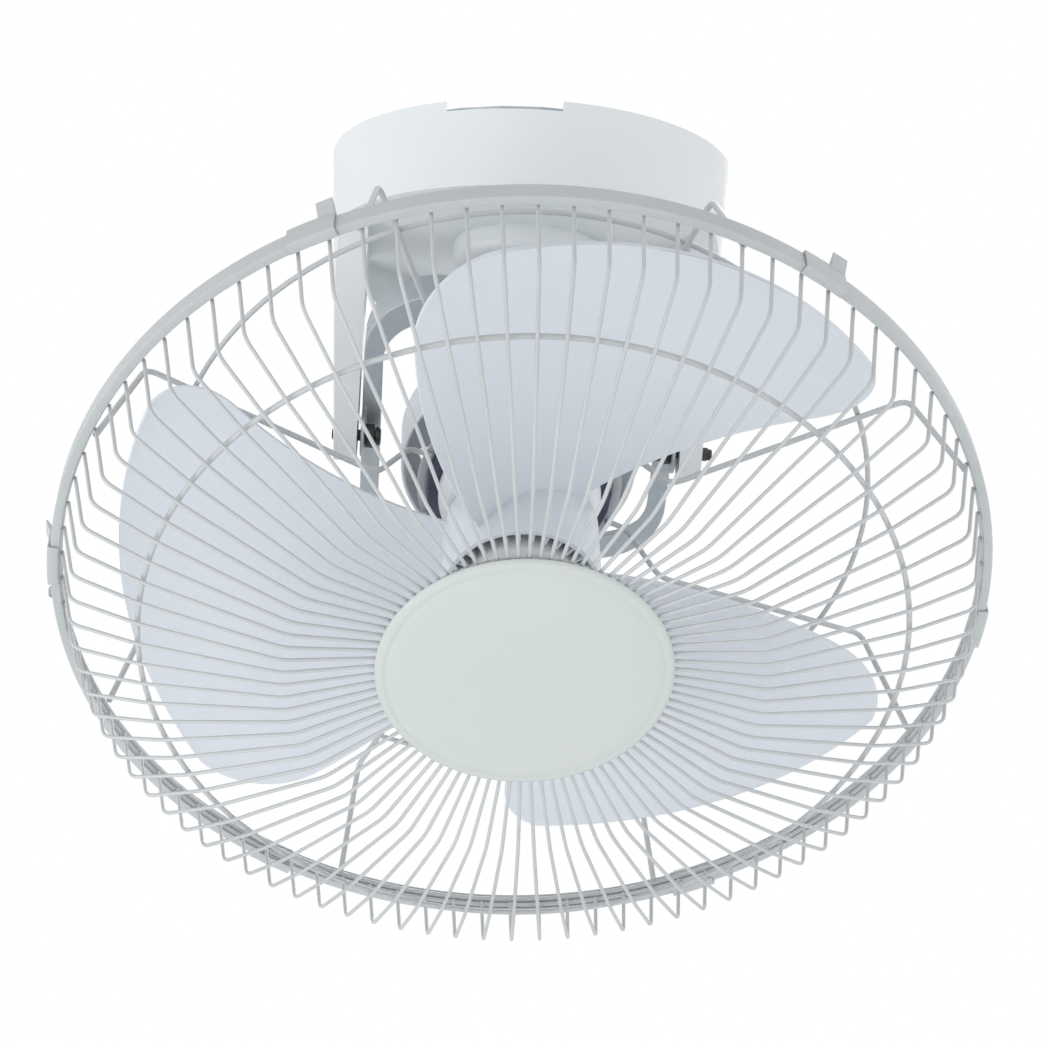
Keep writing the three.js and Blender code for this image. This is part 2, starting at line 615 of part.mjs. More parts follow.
hang(head, 'motor_front_cover', makeMotorFrontCover(), headPlastic);
hang(head, 'motor_rear_cover', makeMotorRearCover(), headPlastic);
hang(head, 'stator', makeStator(), laminations);
hang(head, 'winding_front', makeWinding(stackFront - 10, stackFront - SEAT_GAP), copper);
hang(head, 'winding_rear', makeWinding(stackBack + SEAT_GAP, stackBack + 10), copper);
hang(head, 'bearing_front', bearing(motorFront + MOTOR_WALL + SEAT_GAP), polishedSteel);
hang(head, 'bearing_rear', bearing(drumBack - MOTOR_WALL - BEARING_WIDTH - SEAT_GAP), polishedSteel);

// ---------------------------------------------------------------- gearbox and crank

function makeGearboxCase() {
  return turned([
    [shaftWay + 1, gearboxFront], [GEARBOX_RADIUS, gearboxFront], [GEARBOX_RADIUS, gearboxBack],
    [GEARBOX_RADIUS - MOTOR_WALL, gearboxBack],
    [GEARBOX_RADIUS - MOTOR_WALL, gearboxFront + MOTOR_WALL],
    [shaftWay + 1, gearboxFront + MOTOR_WALL],
  ], 22);
}

function makeGearboxCover() {
  return turned([
    [shaftWay, coverFront], [GEARBOX_RADIUS, coverFront], [GEARBOX_RADIUS, coverBack - 2],
    [GEARBOX_RADIUS - 2, coverBack], [shaftWay, coverBack],
  ], 22);
}

// Straight up as the head sees it: the crank ball stays on this line.
const up = new THREE.Vector3(0, 0, 1).applyEuler(new THREE.Euler(-PITCH * degree, 0, 0))
  .applyEuler(new THREE.Euler(0, -ROLL * degree, 0));
const crankAzimuth = Math.atan2(up.y, up.x);
const crankReach = SEAT_SPHERE * Math.hypot(up.x, up.y);
const ballHeight = pivotHeight + SEAT_SPHERE * up.z;
const armBack = ballHeight - BALL_RADIUS - SEAT_GAP;
const armFront = armBack - CRANK_THICK;

function makeCrankArm() {
  const outline = new THREE.Shape();
  outline.absarc(0, 0, CRANK_HALF_WIDTH + 2, quarterTurn, 3 * quarterTurn, false);
  outline.absarc(crankReach, 0, CRANK_HALF_WIDTH, -quarterTurn, quarterTurn, false);
  const bar = plate(outline, armFront, armBack);
  const pin = disc(BALL_PIN_RADIUS, armBack - 1, ballHeight, 10).translate(crankReach, 0, 0);
  return joined(bar, pin, disc(SHAFT_RADIUS, gearboxBack - CRANK_STUB, armFront + 1, 12));
}

function makeCrankBall() {
  const ball = new THREE.SphereGeometry(BALL_RADIUS, 10, 7).rotateX(quarterTurn);
  const bore = disc(BALL_PIN_RADIUS + SEAT_GAP, -BALL_RADIUS - 1, SEAT_GAP, 10);
  return cut(ball, bore);
}

hang(head, 'gearbox_case', makeGearboxCase(), headPlastic);
hang(head, 'gearbox_cover', makeGearboxCover(), headPlastic);
hang(head, 'crank_arm', makeCrankArm(), galvanised).rotation.z = crankAzimuth;
hang(head, 'crank_ball', makeCrankBall(), darkNylon).position
  .set(crankReach * Math.cos(crankAzimuth), crankReach * Math.sin(crankAzimuth), ballHeight);

// ---------------------------------------------------------------- blades, shaft and rotor

// A point of a blade's middle surface. Chord 0 is the front edge, chord 1 the rear edge.
function bladePoint(radius, chord) {
  const outward = radius / BLADE_MID_RADIUS - 1;
  const corner = Math.max(0, radius - (TIP_RADIUS - TIP_CORNER));
  const inset = (TIP_CORNER - Math.sqrt(TIP_CORNER ** 2 - corner ** 2)) / radius / degree;
  const turn = BLADE_SWEEP * outward + inset + (BLADE_ARC - 2 * inset) * chord;
  const azimuth = (BLADE_PHASE + turn) * degree;
  const rise = BLADE_RISE * (1 + outward / 3) * (turn / BLADE_ARC);
  const height = BLADE_FRONT - 0.55 * BLADE_RISE * outward + rise
    + 4 * BLADE_CAMBER * chord * (1 - chord);
  return [radius * Math.cos(azimuth), radius * Math.sin(azimuth), height];
}

// Two skins of the same grid, joined along the grid's border.
function makeBlade() {
  const root = HUB_RADIUS - HUB_WALL / 2;
  const spots = [];
  for (const offset of [-BLADE_THICK / 2, BLADE_THICK / 2]) {
    for (let row = 0; row <= BLADE_ROWS; row += 1) {
      const radius = root + (TIP_RADIUS - root) * Math.sin((row / BLADE_ROWS) * quarterTurn);
      for (let column = 0; column <= BLADE_COLUMNS; column += 1) {
        const [x, y, z] = bladePoint(radius, column / BLADE_COLUMNS);
        spots.push(x, y, z + offset);
      }
    }
  }
  const at = (skin, row, column) => (skin * (BLADE_ROWS + 1) + row) * (BLADE_COLUMNS + 1) + column;
  const faces = [];
  const quad = (a, b, c, d) => faces.push(a, b, c, a, c, d);
  for (let row = 0; row < BLADE_ROWS; row += 1) {
    const next = row + 1;
    for (let column = 0; column < BLADE_COLUMNS; column += 1) {
      const beside = column + 1;
      quad(at(1, row, column), at(1, next, column), at(1, next, beside), at(1, row, beside));
      quad(at(0, row, column), at(0, row, beside), at(0, next, beside), at(0, next, column));
    }
    const last = BLADE_COLUMNS;
    quad(at(0, row, 0), at(0, next, 0), at(1, next, 0), at(1, row, 0));
    quad(at(1, row, last), at(1, next, last), at(0, next, last), at(0, row, last));
  }
  for (let column = 0; column < BLADE_COLUMNS; column += 1) {
    const beside = column + 1;
    const tip = BLADE_ROWS;
    quad(at(1, 0, column), at(1, 0, beside), at(0, 0, beside), at(0, 0, column));
    quad(at(0, tip, column), at(0, tip, beside), at(1, tip, beside), at(1, tip, column));
  }
  const geometry = new THREE.BufferGeometry();
  geometry.setAttribute('position', new THREE.Float32BufferAttribute(spots, 3));
  geometry.setIndex(faces);
  return geometry;
}

// The hub's sleeve, web and shaft boss are one turned shape, with ribs behind the web.
function makeFanBlades() {
  const webBack = HUB_FLOOR + HUB_WALL;
  const inner = HUB_RADIUS - HUB_WALL;
  const boss = shaftWay + 4;
  const hub = turned([
    [HUB_RADIUS, HUB_FRONT], [HUB_RADIUS, HUB_BACK], [inner, HUB_BACK], [inner, webBack],
    [boss, webBack], [boss, HUB_BACK - 6], [shaftWay, HUB_BACK - 6], [shaftWay, HUB_FLOOR],
    [inner, HUB_FLOOR], [inner, HUB_FRONT],
  ], 28);
  const rib = block([shaftWay + 3, HUB_RADIUS - 1], [-1, 1], [HUB_FLOOR + 1, HUB_BACK - 10]);
  return joined(hub, ...around(HUB_RIBS, rib), ...around(BLADES, makeBlade()));
}

// The cap in the hub's mouth, screwed onto the end of the shaft.
function makeSpinner() {
  const front = HUB_FRONT - 2;
  const back = HUB_FLOOR - SEAT_GAP;
  const wall = 2;
  return turned([
    [0, front], [SPINNER_RADIUS - 3, front], [SPINNER_RADIUS, front + 2],
    [SPINNER_RADIUS, front + SPINNER_HEIGHT], [SPINNER_RADIUS - wall, front + SPINNER_HEIGHT],
    [SPINNER_RADIUS - wall, front + wall], [shaftWay + 4, front + wall],
    [shaftWay + 4, back], [shaftWay, back], [shaftWay, front + wall], [0, front + wall],
  ], 24);
}

hang(head, 'fan_blades', makeFanBlades(), bladePlastic);
hang(head, 'spinner', makeSpinner(), spinnerPlastic);
hang(head, 'motor_shaft', disc(SHAFT_RADIUS, HUB_FRONT + 1, gearboxFront + MOTOR_STUB, 12), polishedSteel);
const rotor = tube(SHAFT_RADIUS + SEAT_GAP, ROTOR_RADIUS, stackFront - 1.5, stackBack + 1.5, 20);
hang(head, 'rotor', rotor, laminations);

// ---------------------------------------------------------------- front guard and emblem

const cornerSlope = (MID_RING_DEPTH - CORNER_DEPTH) / (cornerRadius - midRingRadius);
const dishSlope = (BULGE_DEPTH - INNER_RING_DEPTH) / (BULGE_RADIUS - INNER_RING_RADIUS);
const innerRingInside = INNER_RING_RADIUS - SPOKE / 2;
const frontPath = [
  [rimInside - SEAT_GAP, -rimOffset], [cornerRadius, -CORNER_DEPTH],
  [midRingRadius, -MID_RING_DEPTH], [BULGE_RADIUS, -BULGE_DEPTH],
  [innerRingInside, -INNER_RING_DEPTH + dishSlope * SPOKE / 2],
];

// Bent wires welded to the rim; two more rings lie against their backs.
function makeFrontGuard() {
  const rim = wireRing(rimRadius, -rimOffset, RIM_WIRE, RIM_SIDES).rotateZ(180 / FRONT_WIRES * degree);
  return joined(rim, ...around(FRONT_WIRES, bentWire(frontPath, WIRE)));
}

const midRingFront = -MID_RING_DEPTH + cornerSlope * SPOKE / 2
  + (WIRE / 2) * Math.hypot(1, cornerSlope) + SEAT_GAP;
const innerRingFront = frontPath[4][1] + (WIRE / 2) * Math.hypot(1, dishSlope) + SEAT_GAP;

// A plain dished disc in front of the inner ring, held by three hooks that reach behind it.
function makeEmblem() {
  const back = -INNER_RING_DEPTH - WIRE / 2 - SEAT_GAP;
  const front = back - EMBLEM_THICK;
  const edge = back - dishSlope * (EMBLEM_RADIUS - INNER_RING_RADIUS) - SEAT_GAP;
  const face = turned([
    [0, front], [EMBLEM_RADIUS * 0.6, front + 0.6], [EMBLEM_RADIUS * 0.94, front + 2],
    [EMBLEM_RADIUS, front + 3.6], [EMBLEM_RADIUS, edge], [INNER_RING_RADIUS, back], [0, back],
  ], 36);
  const inside = innerRingInside - 2 * SEAT_GAP;
  const ringBack = innerRingFront + SPOKE + SEAT_GAP;
  const post = block([inside - 2.5, inside], [-4, 4], [back - 1, ringBack + 1.5]);
  const nose = block([inside - 1, inside + 2.5], [-4, 4], [ringBack, ringBack + 1.5]);
  return joined(face, ...around(3, post, HOOK_PHASE), ...around(3, nose, HOOK_PHASE));
}

hang(head, 'front_guard', makeFrontGuard(), coatedWire);
const midRing = wireRing(midRingRadius, midRingFront + SPOKE / 2, SPOKE, 40);
hang(head, 'guard_mid_ring', midRing, coatedWire);
const innerRing = wireRing(INNER_RING_RADIUS, innerRingFront + SPOKE / 2, SPOKE, 24);
hang(head, 'guard_inner_ring', innerRing, coatedWire);
hang(head, 'emblem', makeEmblem(), emblemPlastic);

// ---------------------------------------------------------------- rear guard

const spokeTop = plateBack + SEAT_GAP + SPOKE / 2;
const spoke = bentWire([
  [rimInside - 2 * SEAT_GAP - SPOKE / 2, 1], [shoulderRadius + SPOKE_BOW, SHOULDER_HEIGHT - 15],
  [shoulderRadius + 0.6 * SPOKE_BOW, SHOULDER_HEIGHT - 4], [shoulderRadius, SHOULDER_HEIGHT],
  [KNEE_RADIUS, KNEE_HEIGHT], [KNEE_RADIUS - KNEE_REACH, spokeTop],
  [MOTOR_RADIUS + 3, spokeTop],
], SPOKE);
for (let i = 0; i < REAR_SPOKES; i += 1) {
  const azimuth = ((i + 0.5) * 360) / REAR_SPOKES;
  hang(head, `rear_spoke_${i + 1}`, spoke, coatedWire).rotation.z = azimuth * degree;
}

const spokeSlope = (SHOULDER_HEIGHT - KNEE_HEIGHT) / (shoulderRadius - KNEE_RADIUS);
const ringSeat = KNEE_HEIGHT + spokeSlope * (rearRingRadius + SPOKE / 2 - KNEE_RADIUS)
  + (SPOKE / 2) * Math.hypot(1, spokeSlope) + SEAT_GAP;
const rearRing = wireRing(rearRingRadius, ringSeat + SPOKE / 2, SPOKE, 36);
hang(head, 'rear_ring', rearRing, coatedWire);
hang(head, 'rear_rim', wireRing(rimRadius, rimOffset, RIM_WIRE, RIM_SIDES), coatedWire);
hang(head, 'rear_hub_plate', tube(plateInside, HUB_PLATE_RADIUS, plateFront, plateBack, 24), coatedWire);

// ---------------------------------------------------------------- band and clips

const lipRadius = GUARD_RADIUS - BAND_LIP;

function makeGuardBand() {
  const half = BAND_WIDTH / 2;
  const inner = GUARD_RADIUS - BAND_THICK;
  return turned([
    [GUARD_RADIUS, -half], [GUARD_RADIUS, half], [lipRadius, half], [lipRadius, half - BAND_THICK],
    [inner, half - BAND_THICK], [inner, BAND_THICK - half], [lipRadius, BAND_THICK - half],
    [lipRadius, -half],
  ], RIM_SIDES);
}

// A sheet clip: a back and two lips over the band, and a lever raised at one end.
function makeClip() {
  const seat = GUARD_RADIUS + SEAT_GAP;
  const outer = seat + CLIP_THICK;
  const half = BAND_WIDTH / 2 + SEAT_GAP;
  const over = half + CLIP_THICK;
  const section = new THREE.Shape([
    [outer, -over], [outer, over], [lipRadius, over], [lipRadius, half], [seat, half],
    [seat, -half], [lipRadius, -half], [lipRadius, -over],
  ].map(([x, y]) => new THREE.Vector2(x, y)));
  const lever = new THREE.Shape([
    [outer - 4, over - 0.5], [outer, over - 0.5], [outer + 3, over + 8], [outer + 2, over + 8.5],
  ].map(([x, y]) => new THREE.Vector2(x, y)));
  const body = plate(section, -CLIP_WIDTH / 2, CLIP_WIDTH / 2).rotateX(quarterTurn);
  const tab = plate(lever, CLIP_WIDTH / 2 - 9, CLIP_WIDTH / 2).rotateX(quarterTurn);
  return joined(body, tab);
}

hang(head, 'guard_band', makeGuardBand(), bandSteel);
const clip = makeClip();
for (let i = 0; i < CLIPS; i += 1) {
  const azimuth = CLIP_PHASE + (i * 360) / CLIPS;
  hang(head, `guard_clip_${i + 1}`, clip, bandSteel).rotation.z = azimuth * degree;
}
const bandScrew = alongX(turned([[0, 0], [3, 0], [3, 1], [1.5, 2], [0, 2]], 12))
  .translate(GUARD_RADIUS + SEAT_GAP, 0, 0);
hang(head, 'band_screw', bandScrew, polishedSteel).rotation.z = BAND_SCREW_AZIMUTH * degree;

export default fan;
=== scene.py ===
# Orbital ceiling fan: a caged fan head in a gimbal under a ceiling canopy.
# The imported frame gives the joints' places and axes. This script draws the round wires, the moulded
# skins and the finish of every surface. Pieces are drawn in millimetres and placed in metres.

import json
import math

import bmesh
import bpy
from mathutils import Matrix, Vector


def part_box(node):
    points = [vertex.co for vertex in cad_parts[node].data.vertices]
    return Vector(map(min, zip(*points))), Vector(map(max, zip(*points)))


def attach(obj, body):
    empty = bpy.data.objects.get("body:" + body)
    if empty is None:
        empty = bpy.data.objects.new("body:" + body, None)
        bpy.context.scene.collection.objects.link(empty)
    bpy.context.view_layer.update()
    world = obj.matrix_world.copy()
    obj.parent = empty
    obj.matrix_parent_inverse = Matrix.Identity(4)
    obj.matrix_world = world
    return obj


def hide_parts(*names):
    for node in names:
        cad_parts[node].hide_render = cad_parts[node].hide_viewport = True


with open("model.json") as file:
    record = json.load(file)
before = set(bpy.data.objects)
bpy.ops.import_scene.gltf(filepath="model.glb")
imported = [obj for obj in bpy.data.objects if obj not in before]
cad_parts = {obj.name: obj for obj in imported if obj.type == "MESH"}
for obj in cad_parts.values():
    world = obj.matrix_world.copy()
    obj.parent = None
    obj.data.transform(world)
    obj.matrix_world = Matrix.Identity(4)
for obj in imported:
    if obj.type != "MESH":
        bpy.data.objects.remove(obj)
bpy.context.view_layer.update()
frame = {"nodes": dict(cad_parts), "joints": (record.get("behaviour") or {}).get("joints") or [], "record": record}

# ---------------------------------------------------------------- places taken from the frame

MM = Matrix.Scale(0.001, 4)
joints = {joint["name"]: joint for joint in frame["joints"]}
pivot = Vector(joints["gimbal_roll"]["pos_m"])
roll_axis = Vector(joints["gimbal_roll"]["axis"]).normalized()
head_axis = Vector(joints["blade_spin"]["axis"]).normalized()
pitch_axis = Vector(joints["gimbal_pitch"]["axis"]).normalized()

PIVOT_HEIGHT = 118.3            # guard rim plane to the gimbal centre, along the head's axis


def axes_at(x, y, z, origin):
    """The matrix that takes local millimetres to the frame."""
    facing = Matrix((x, y, z)).transposed().to_4x4()
    return Matrix.Translation(origin) @ facing @ MM


HEAD = axes_at(roll_axis.cross(head_axis), roll_axis, head_axis,
               pivot - head_axis * PIVOT_HEIGHT * 0.001)
GIMBAL = axes_at(pitch_axis, roll_axis, pitch_axis.cross(roll_axis), pivot)
CANOPY = MM
PIVOT_Z = pivot.z * 1000

# ---------------------------------------------------------------- sizes in millimetres

SEAT_GAP = 0.3                  # between two pieces that rest on each other

# Guards. A path is made of (radius, height) points, and heights run back from the rim plane.
GUARD_RADIUS = 230
WIRE = 1.9
SPOKE = 3.0
RING_WIRE = 2.7
RIM_WIRE = 3.4
RIM_RADIUS = 226.3
RIM_OFFSET = 2.1                # from the rim plane to the middle of either rim wire
FRONT_WIRES = 90
FRONT_PATH = [(224.1, -2.3), (216.7, -36.5), (184, -49), (115, -66), (64.3, -57.7)]
FRONT_BEND = 5
MID_RING = (184, -45.0)
INNER_RING = (66, -54.7)
REAR_SPOKES = 8
SPOKE_PHASE = 22.5
SPOKE_PATH = [(222.3, 1), (203.5, 65), (80, 50), (62, 80.4), (50.5, 80.4)]
SPOKE_BEND = 6
REAR_RING = (178, 64.9)
HUB_PLATE_RADIUS = 53
HUB_PLATE_HOLE = 48.3
HUB_PLATE_FRONT = 82.2
HUB_PLATE_BACK = 84.2

# Band and clips.
BAND_HALF = 5.2
BAND_THICK = 1
BAND_LIP = 4.4                  # how far the band's lips reach in
CLIPS = 6
CLIP_PHASE = 2.4
CLIP_SPAN = 5.9                 # degrees
CLIP_THICK = 1
CLIP_LIP = 4.2
BAND_SCREW_AZIMUTH = 177

# Emblem.
EMBLEM_RADIUS = 71.4
EMBLEM_FRONT = -65.8
EMBLEM_BACK = -59.3
HOOKS = 3
HOOK_PHASE = 30
HOOK_OUTSIDE = 63.7
HOOK_END = -51.2

# Blades and hub.
BLADES = 3
BLADE_MID = 130                 # the radius that the blade's other values are given at
BLADE_THICK = 2.0
BLADE_ARC = 79.6                # degrees from the front edge to the rear edge
BLADE_SWEEP = 15.5              # degrees that both edges lean over one mid radius
BLADE_PHASE = -115
BLADE_RISE = 40.4               # from the front edge back to the rear edge
BLADE_LEAN = 0.55               # share of the rise that the blade comes forward over one mid radius
BLADE_CAMBER = 5
BLADE_FRONT = -3
TIP_RADIUS = 200
TIP_CORNER = 38
HUB_RADIUS = 39.5
HUB_WALL = 2.6
HUB_FRONT = -2
HUB_BACK = 46
HUB_FLOOR = 24
HUB_FINS = 30
HUB_RIBS = 5
SHAFT_WAY = 4.6
BOSS_RADIUS = SHAFT_WAY + 4
SPINNER_RADIUS = 28.6
SPINNER_WALL = 2

# Motor and gearbox.
MOTOR_WALL = 2
MOTOR_FRONT = 51
FRONT_COVER_RADIUS = 42
COVER_BACK = 76
LUG_REACH = 51
BEARING_SEAT = 9.3
BEARING_POCKET = BEARING_SEAT + MOTOR_WALL
DRUM_RADIUS = 61.5
DRUM_FRONT = 98
DRUM_BACK = 128
DRUM_VENTS = 8
SLEEVE_RADIUS = 42.5
SLEEVE_FRONT = 94.3
SHAFT_HOLE = 5.6
GEARBOX_RADIUS = 36
GEARBOX_LENGTH = 21
GEARBOX_LID = 5

# Gimbal and crank.
RING_HALF_X = 83
RING_HALF_Y = 84
RING_CORNER = 38
RING_RAISE = 9.5                # from the gimbal centre back to the ring's flange
RING_WIDTH = 21
RING_THICK = 2
RING_FLANGE = 8
RING_END_FLANGE = 14
RING_EAR = 11
BUSH_RADIUS = 6.3
BUSH_WAY = 3.6
BUSH_LENGTH = 5
CROSS_PIN_RADIUS = 4
CROSS_PIN_WAY = 4.3
CROSS_PIN_END = 63.5
ORBIT_REACH = 62                # from the gimbal centre up to the crank ball
BALL_RADIUS = 4.98
CRANK_THICK = 4
CRANK_FOOT = 146                # the inner end of the crank's stem, in the gearbox

# Canopy, fork and pivot screws.
CANOPY_RADIUS = 106.5
CANOPY_WALL = 2.5
CANOPY_DEPTH = 44
SKIRT_DEPTH = 30
SKIRT_HALF = 92
CUP_RADIUS = 40
CUP_BOTTOM = -57
LEG_INSIDE = 84.8
LEG_WALL = 2
LEG_OUTSIDE = 97.5
LEG_HALF = 13.5
LEG_ROOT = 44                   # half of a leg's width where it leaves the canopy
LEG_TAPER = 0.6                 # share of a leg's length over which it narrows
FORK_OUTSIDE = 89.1
FORK_HALF = 10.5
FORK_THICK = 2
FORK_TOP = -2.3
SCREW_WAY = 3.3
NUT_RADIUS = 3.8
BEYOND = 130                    # a length that passes the canopy's side

# ---------------------------------------------------------------- node helpers for finishes


def srgb(red, green, blue):
    """A colour as it looks on screen, 0 to 255, as linear light."""
    def channel(value):
        value /= 255
        return value / 12.92 if value <= 0.04045 else ((value + 0.055) / 1.055) ** 2.4
    return channel(red), channel(green), channel(blue), 1.0


class Finish:
    """One material and the few node patterns that this fan's surfaces need."""

    def __init__(self, name, colour, roughness, metallic=0.0):
        self.material = bpy.data.materials.new(name)
        self.material.use_nodes = True
        self.tree = self.material.node_tree
        self.shader = self.tree.nodes["Principled BSDF"]
        self.shader.inputs["Base Color"].default_value = colour
        self.shader.inputs["Roughness"].default_value = roughness
        self.shader.inputs["Metallic"].default_value = metallic
        self.colour = colour
        self.roughness = roughness
        self.place = self.tree.nodes.new("ShaderNodeTexCoord").outputs["Object"]
        self.height = None

    def link(self, start, end):
        self.tree.links.new(start, end)

    def noise(self, scale, detail, stretch=(1, 1, 1)):
        mapping = self.tree.nodes.new("ShaderNodeMapping")
        mapping.inputs["Scale"].default_value = stretch
        pattern = self.tree.nodes.new("ShaderNodeTexNoise")
        pattern.inputs["Scale"].default_value = scale
        pattern.inputs["Detail"].default_value = detail
        self.link(self.place, mapping.inputs["Vector"])
        self.link(mapping.outputs["Vector"], pattern.inputs["Vector"])
        return pattern.outputs["Fac"]

    def cells(self, scale):
        pattern = self.tree.nodes.new("ShaderNodeTexVoronoi")
        pattern.inputs["Scale"].default_value = scale
        self.link(self.place, pattern.inputs["Vector"])
        grey = self.tree.nodes.new("ShaderNodeRGBToBW")
        self.link(pattern.outputs["Color"], grey.inputs["Color"])
        return grey.outputs["Val"]

    def spread(self, value, low, high):
        """Maps a pattern's middle range to low and high."""
        node = self.tree.nodes.new("ShaderNodeMapRange")
        node.inputs["From Min"].default_value = 0.3
        node.inputs["From Max"].default_value = 0.7
        node.inputs["To Min"].default_value = low
        node.inputs["To Max"].default_value = high
        self.link(value, node.inputs["Value"])
        return node.outputs["Result"]

    def tint(self, value, other, most):
        """Blends the base colour towards another one, by up to a share, where the pattern is high."""
        mix = self.tree.nodes.new("ShaderNodeMix")
        mix.data_type = "RGBA"
        colours = [socket for socket in mix.inputs if socket.type == "RGBA"]
        colours[0].default_value = self.colour
        colours[1].default_value = other
        base = self.shader.inputs["Base Color"]
        if base.links:
            self.link(base.links[0].from_socket, colours[0])
        self.link(self.spread(value, 0.0, most), mix.inputs["Factor"])
        self.link(next(socket for socket in mix.outputs if socket.type == "RGBA"), base)

    def uneven(self, value, amount):
        """Lets the roughness wander by an amount either way."""
        result = self.spread(value, self.roughness - amount, self.roughness + amount)
        self.link(result, self.shader.inputs["Roughness"])

    def bump(self, value, depth, strength):
        """Adds relief of a depth in millimetres over the relief that is already there."""
        node = self.tree.nodes.new("ShaderNodeBump")
        node.inputs["Distance"].default_value = depth * 0.001
        node.inputs["Strength"].default_value = strength
        self.link(value, node.inputs["Height"])
        if self.height:
            self.link(self.height, node.inputs["Normal"])
        self.height = node.outputs["Normal"]
        self.link(self.height, self.shader.inputs["Normal"])


def moulded_plastic(name, colour, shade, roughness):
    """Injection-moulded plastic: a faint cloud of tone, fine grain and slow waviness."""
    finish = Finish(name, colour, roughness)
    finish.tint(finish.noise(9, 2), shade, 0.55)
    finish.uneven(finish.noise(60, 4), 0.05)
    finish.bump(finish.noise(25, 2), 0.12, 0.25)
    finish.bump(finish.noise(1400, 2), 0.02, 0.5)
    finish.shader.inputs["IOR"].default_value = 1.49
    return finish.material


def powder_coat(name, colour, shade, roughness):
    """Baked powder over steel: orange peel, a slightly uneven gloss and a faint cloud of tone."""
    finish = Finish(name, colour, roughness)
    finish.tint(finish.noise(14, 3), shade, 0.6)
    finish.uneven(finish.noise(90, 3), 0.06)
    finish.bump(finish.noise(700, 2), 0.06, 0.6)
    finish.shader.inputs["Coat Weight"].default_value = 0.15
    finish.shader.inputs["Coat Roughness"].default_value = 0.2
    return finish.material


def zinc_plate(name):
    """Galvanised sheet: a faint crystal spangle, rolling streaks and a dull gloss."""
    finish = Finish(name, srgb(178, 185, 189), 0.4, 0.5)
    finish.tint(finish.cells(300), srgb(168, 175, 180), 0.6)
    finish.tint(finish.noise(12, 2), srgb(192, 197, 200), 0.5)
    finish.uneven(finish.cells(300), 0.03)
    finish.bump(finish.noise(420, 4, (1, 1, 0.12)), 0.02, 0.5)
    return finish.material


def turned_steel(name):
    """Ground or turned steel with fine tool marks."""
    finish = Finish(name, srgb(186, 189, 193), 0.24, 1.0)
    finish.tint(finish.noise(50, 4), srgb(120, 122, 126), 0.3)
    finish.uneven(finish.noise(300, 3), 0.07)
    finish.bump(finish.noise(900, 2), 0.008, 0.5)
    return finish.material


def blackened_steel(name):
    """Oxide-blacked screws, a little worn to bare steel."""
    finish = Finish(name, srgb(46, 47, 50), 0.38, 0.8)
    finish.tint(finish.noise(220, 5), srgb(120, 118, 116), 0.35)
    finish.uneven(finish.noise(160, 3), 0.08)
    finish.bump(finish.noise(800, 2), 0.01, 0.5)
    return finish.material


def lamination_stack(name):
    """Varnished motor iron: thin sheets stacked along the head's axis."""
    finish = Finish(name, srgb(86, 88, 106), 0.5, 0.35)
    sheets = finish.tree.nodes.new("ShaderNodeTexWave")
    mapping = finish.tree.nodes.new("ShaderNodeMapping")
    upright = head_axis.rotation_difference(Vector((0, 0, 1))).to_euler()
    mapping.inputs["Rotation"].default_value = upright
    sheets.bands_direction = "Z"
    sheets.inputs["Scale"].default_value = 320
    finish.link(finish.place, mapping.inputs["Vector"])
    finish.link(mapping.outputs["Vector"], sheets.inputs["Vector"])
    finish.tint(finish.noise(70, 4), srgb(58, 60, 78), 0.8)
    finish.uneven(finish.noise(70, 4), 0.08)
    finish.bump(sheets.outputs["Fac"], 0.12, 0.8)
    return finish.material


def enamelled_copper(name):
    """Motor winding: fine enamelled wire lying round the coil."""
    finish = Finish(name, srgb(176, 98, 54), 0.36, 0.7)
    finish.tint(finish.noise(120, 4), srgb(120, 56, 30), 0.8)
    finish.bump(finish.noise(600, 3, (1, 1, 0.2)), 0.15, 0.7)
    return finish.material


finishes = {
    "canopy_plastic": moulded_plastic("canopy plastic", srgb(228, 231, 233), srgb(222, 227, 226), 0.42),
    "head_plastic": moulded_plastic("motor cover plastic", srgb(229, 233, 236), srgb(220, 225, 229),
                                    0.38),
    "blade_plastic": moulded_plastic("blade plastic", srgb(223, 228, 234), srgb(218, 223, 231), 0.34),
    "emblem_plastic": moulded_plastic("emblem plastic", srgb(200, 206, 203), srgb(196, 203, 200), 0.42),
    "spinner_plastic": moulded_plastic("spinner plastic", srgb(222, 222, 225), srgb(214, 213, 218),
                                       0.45),
    "coated_wire": powder_coat("coated wire", srgb(196, 199, 200), srgb(178, 181, 183), 0.4),
    "painted_steel": powder_coat("painted band", srgb(190, 194, 195), srgb(178, 182, 184), 0.42),
    "galvanised_steel": zinc_plate("galvanised steel"),
    "dark_nylon": moulded_plastic("dark nylon", srgb(36, 40, 42), srgb(50, 54, 56), 0.5),
    "laminated_steel": lamination_stack("laminated steel"),
    "copper_winding": enamelled_copper("copper winding"),
    "polished_steel": turned_steel("turned steel"),
    "black_oxide_steel": blackened_steel("blackened steel"),
    "black_plastic": moulded_plastic("black plastic", srgb(38, 38, 40), srgb(50, 50, 52), 0.45),
}

# ---------------------------------------------------------------- keeping pieces


def keep(obj, body, slot, nodes):
    """Hands a finished object to the frame under a body, a finish and the nodes it stands for."""
    bpy.context.scene.collection.objects.link(obj)
    obj.data.materials.clear()
    obj.data.materials.append(finishes[slot])
    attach(obj, body)
    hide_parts(*nodes)


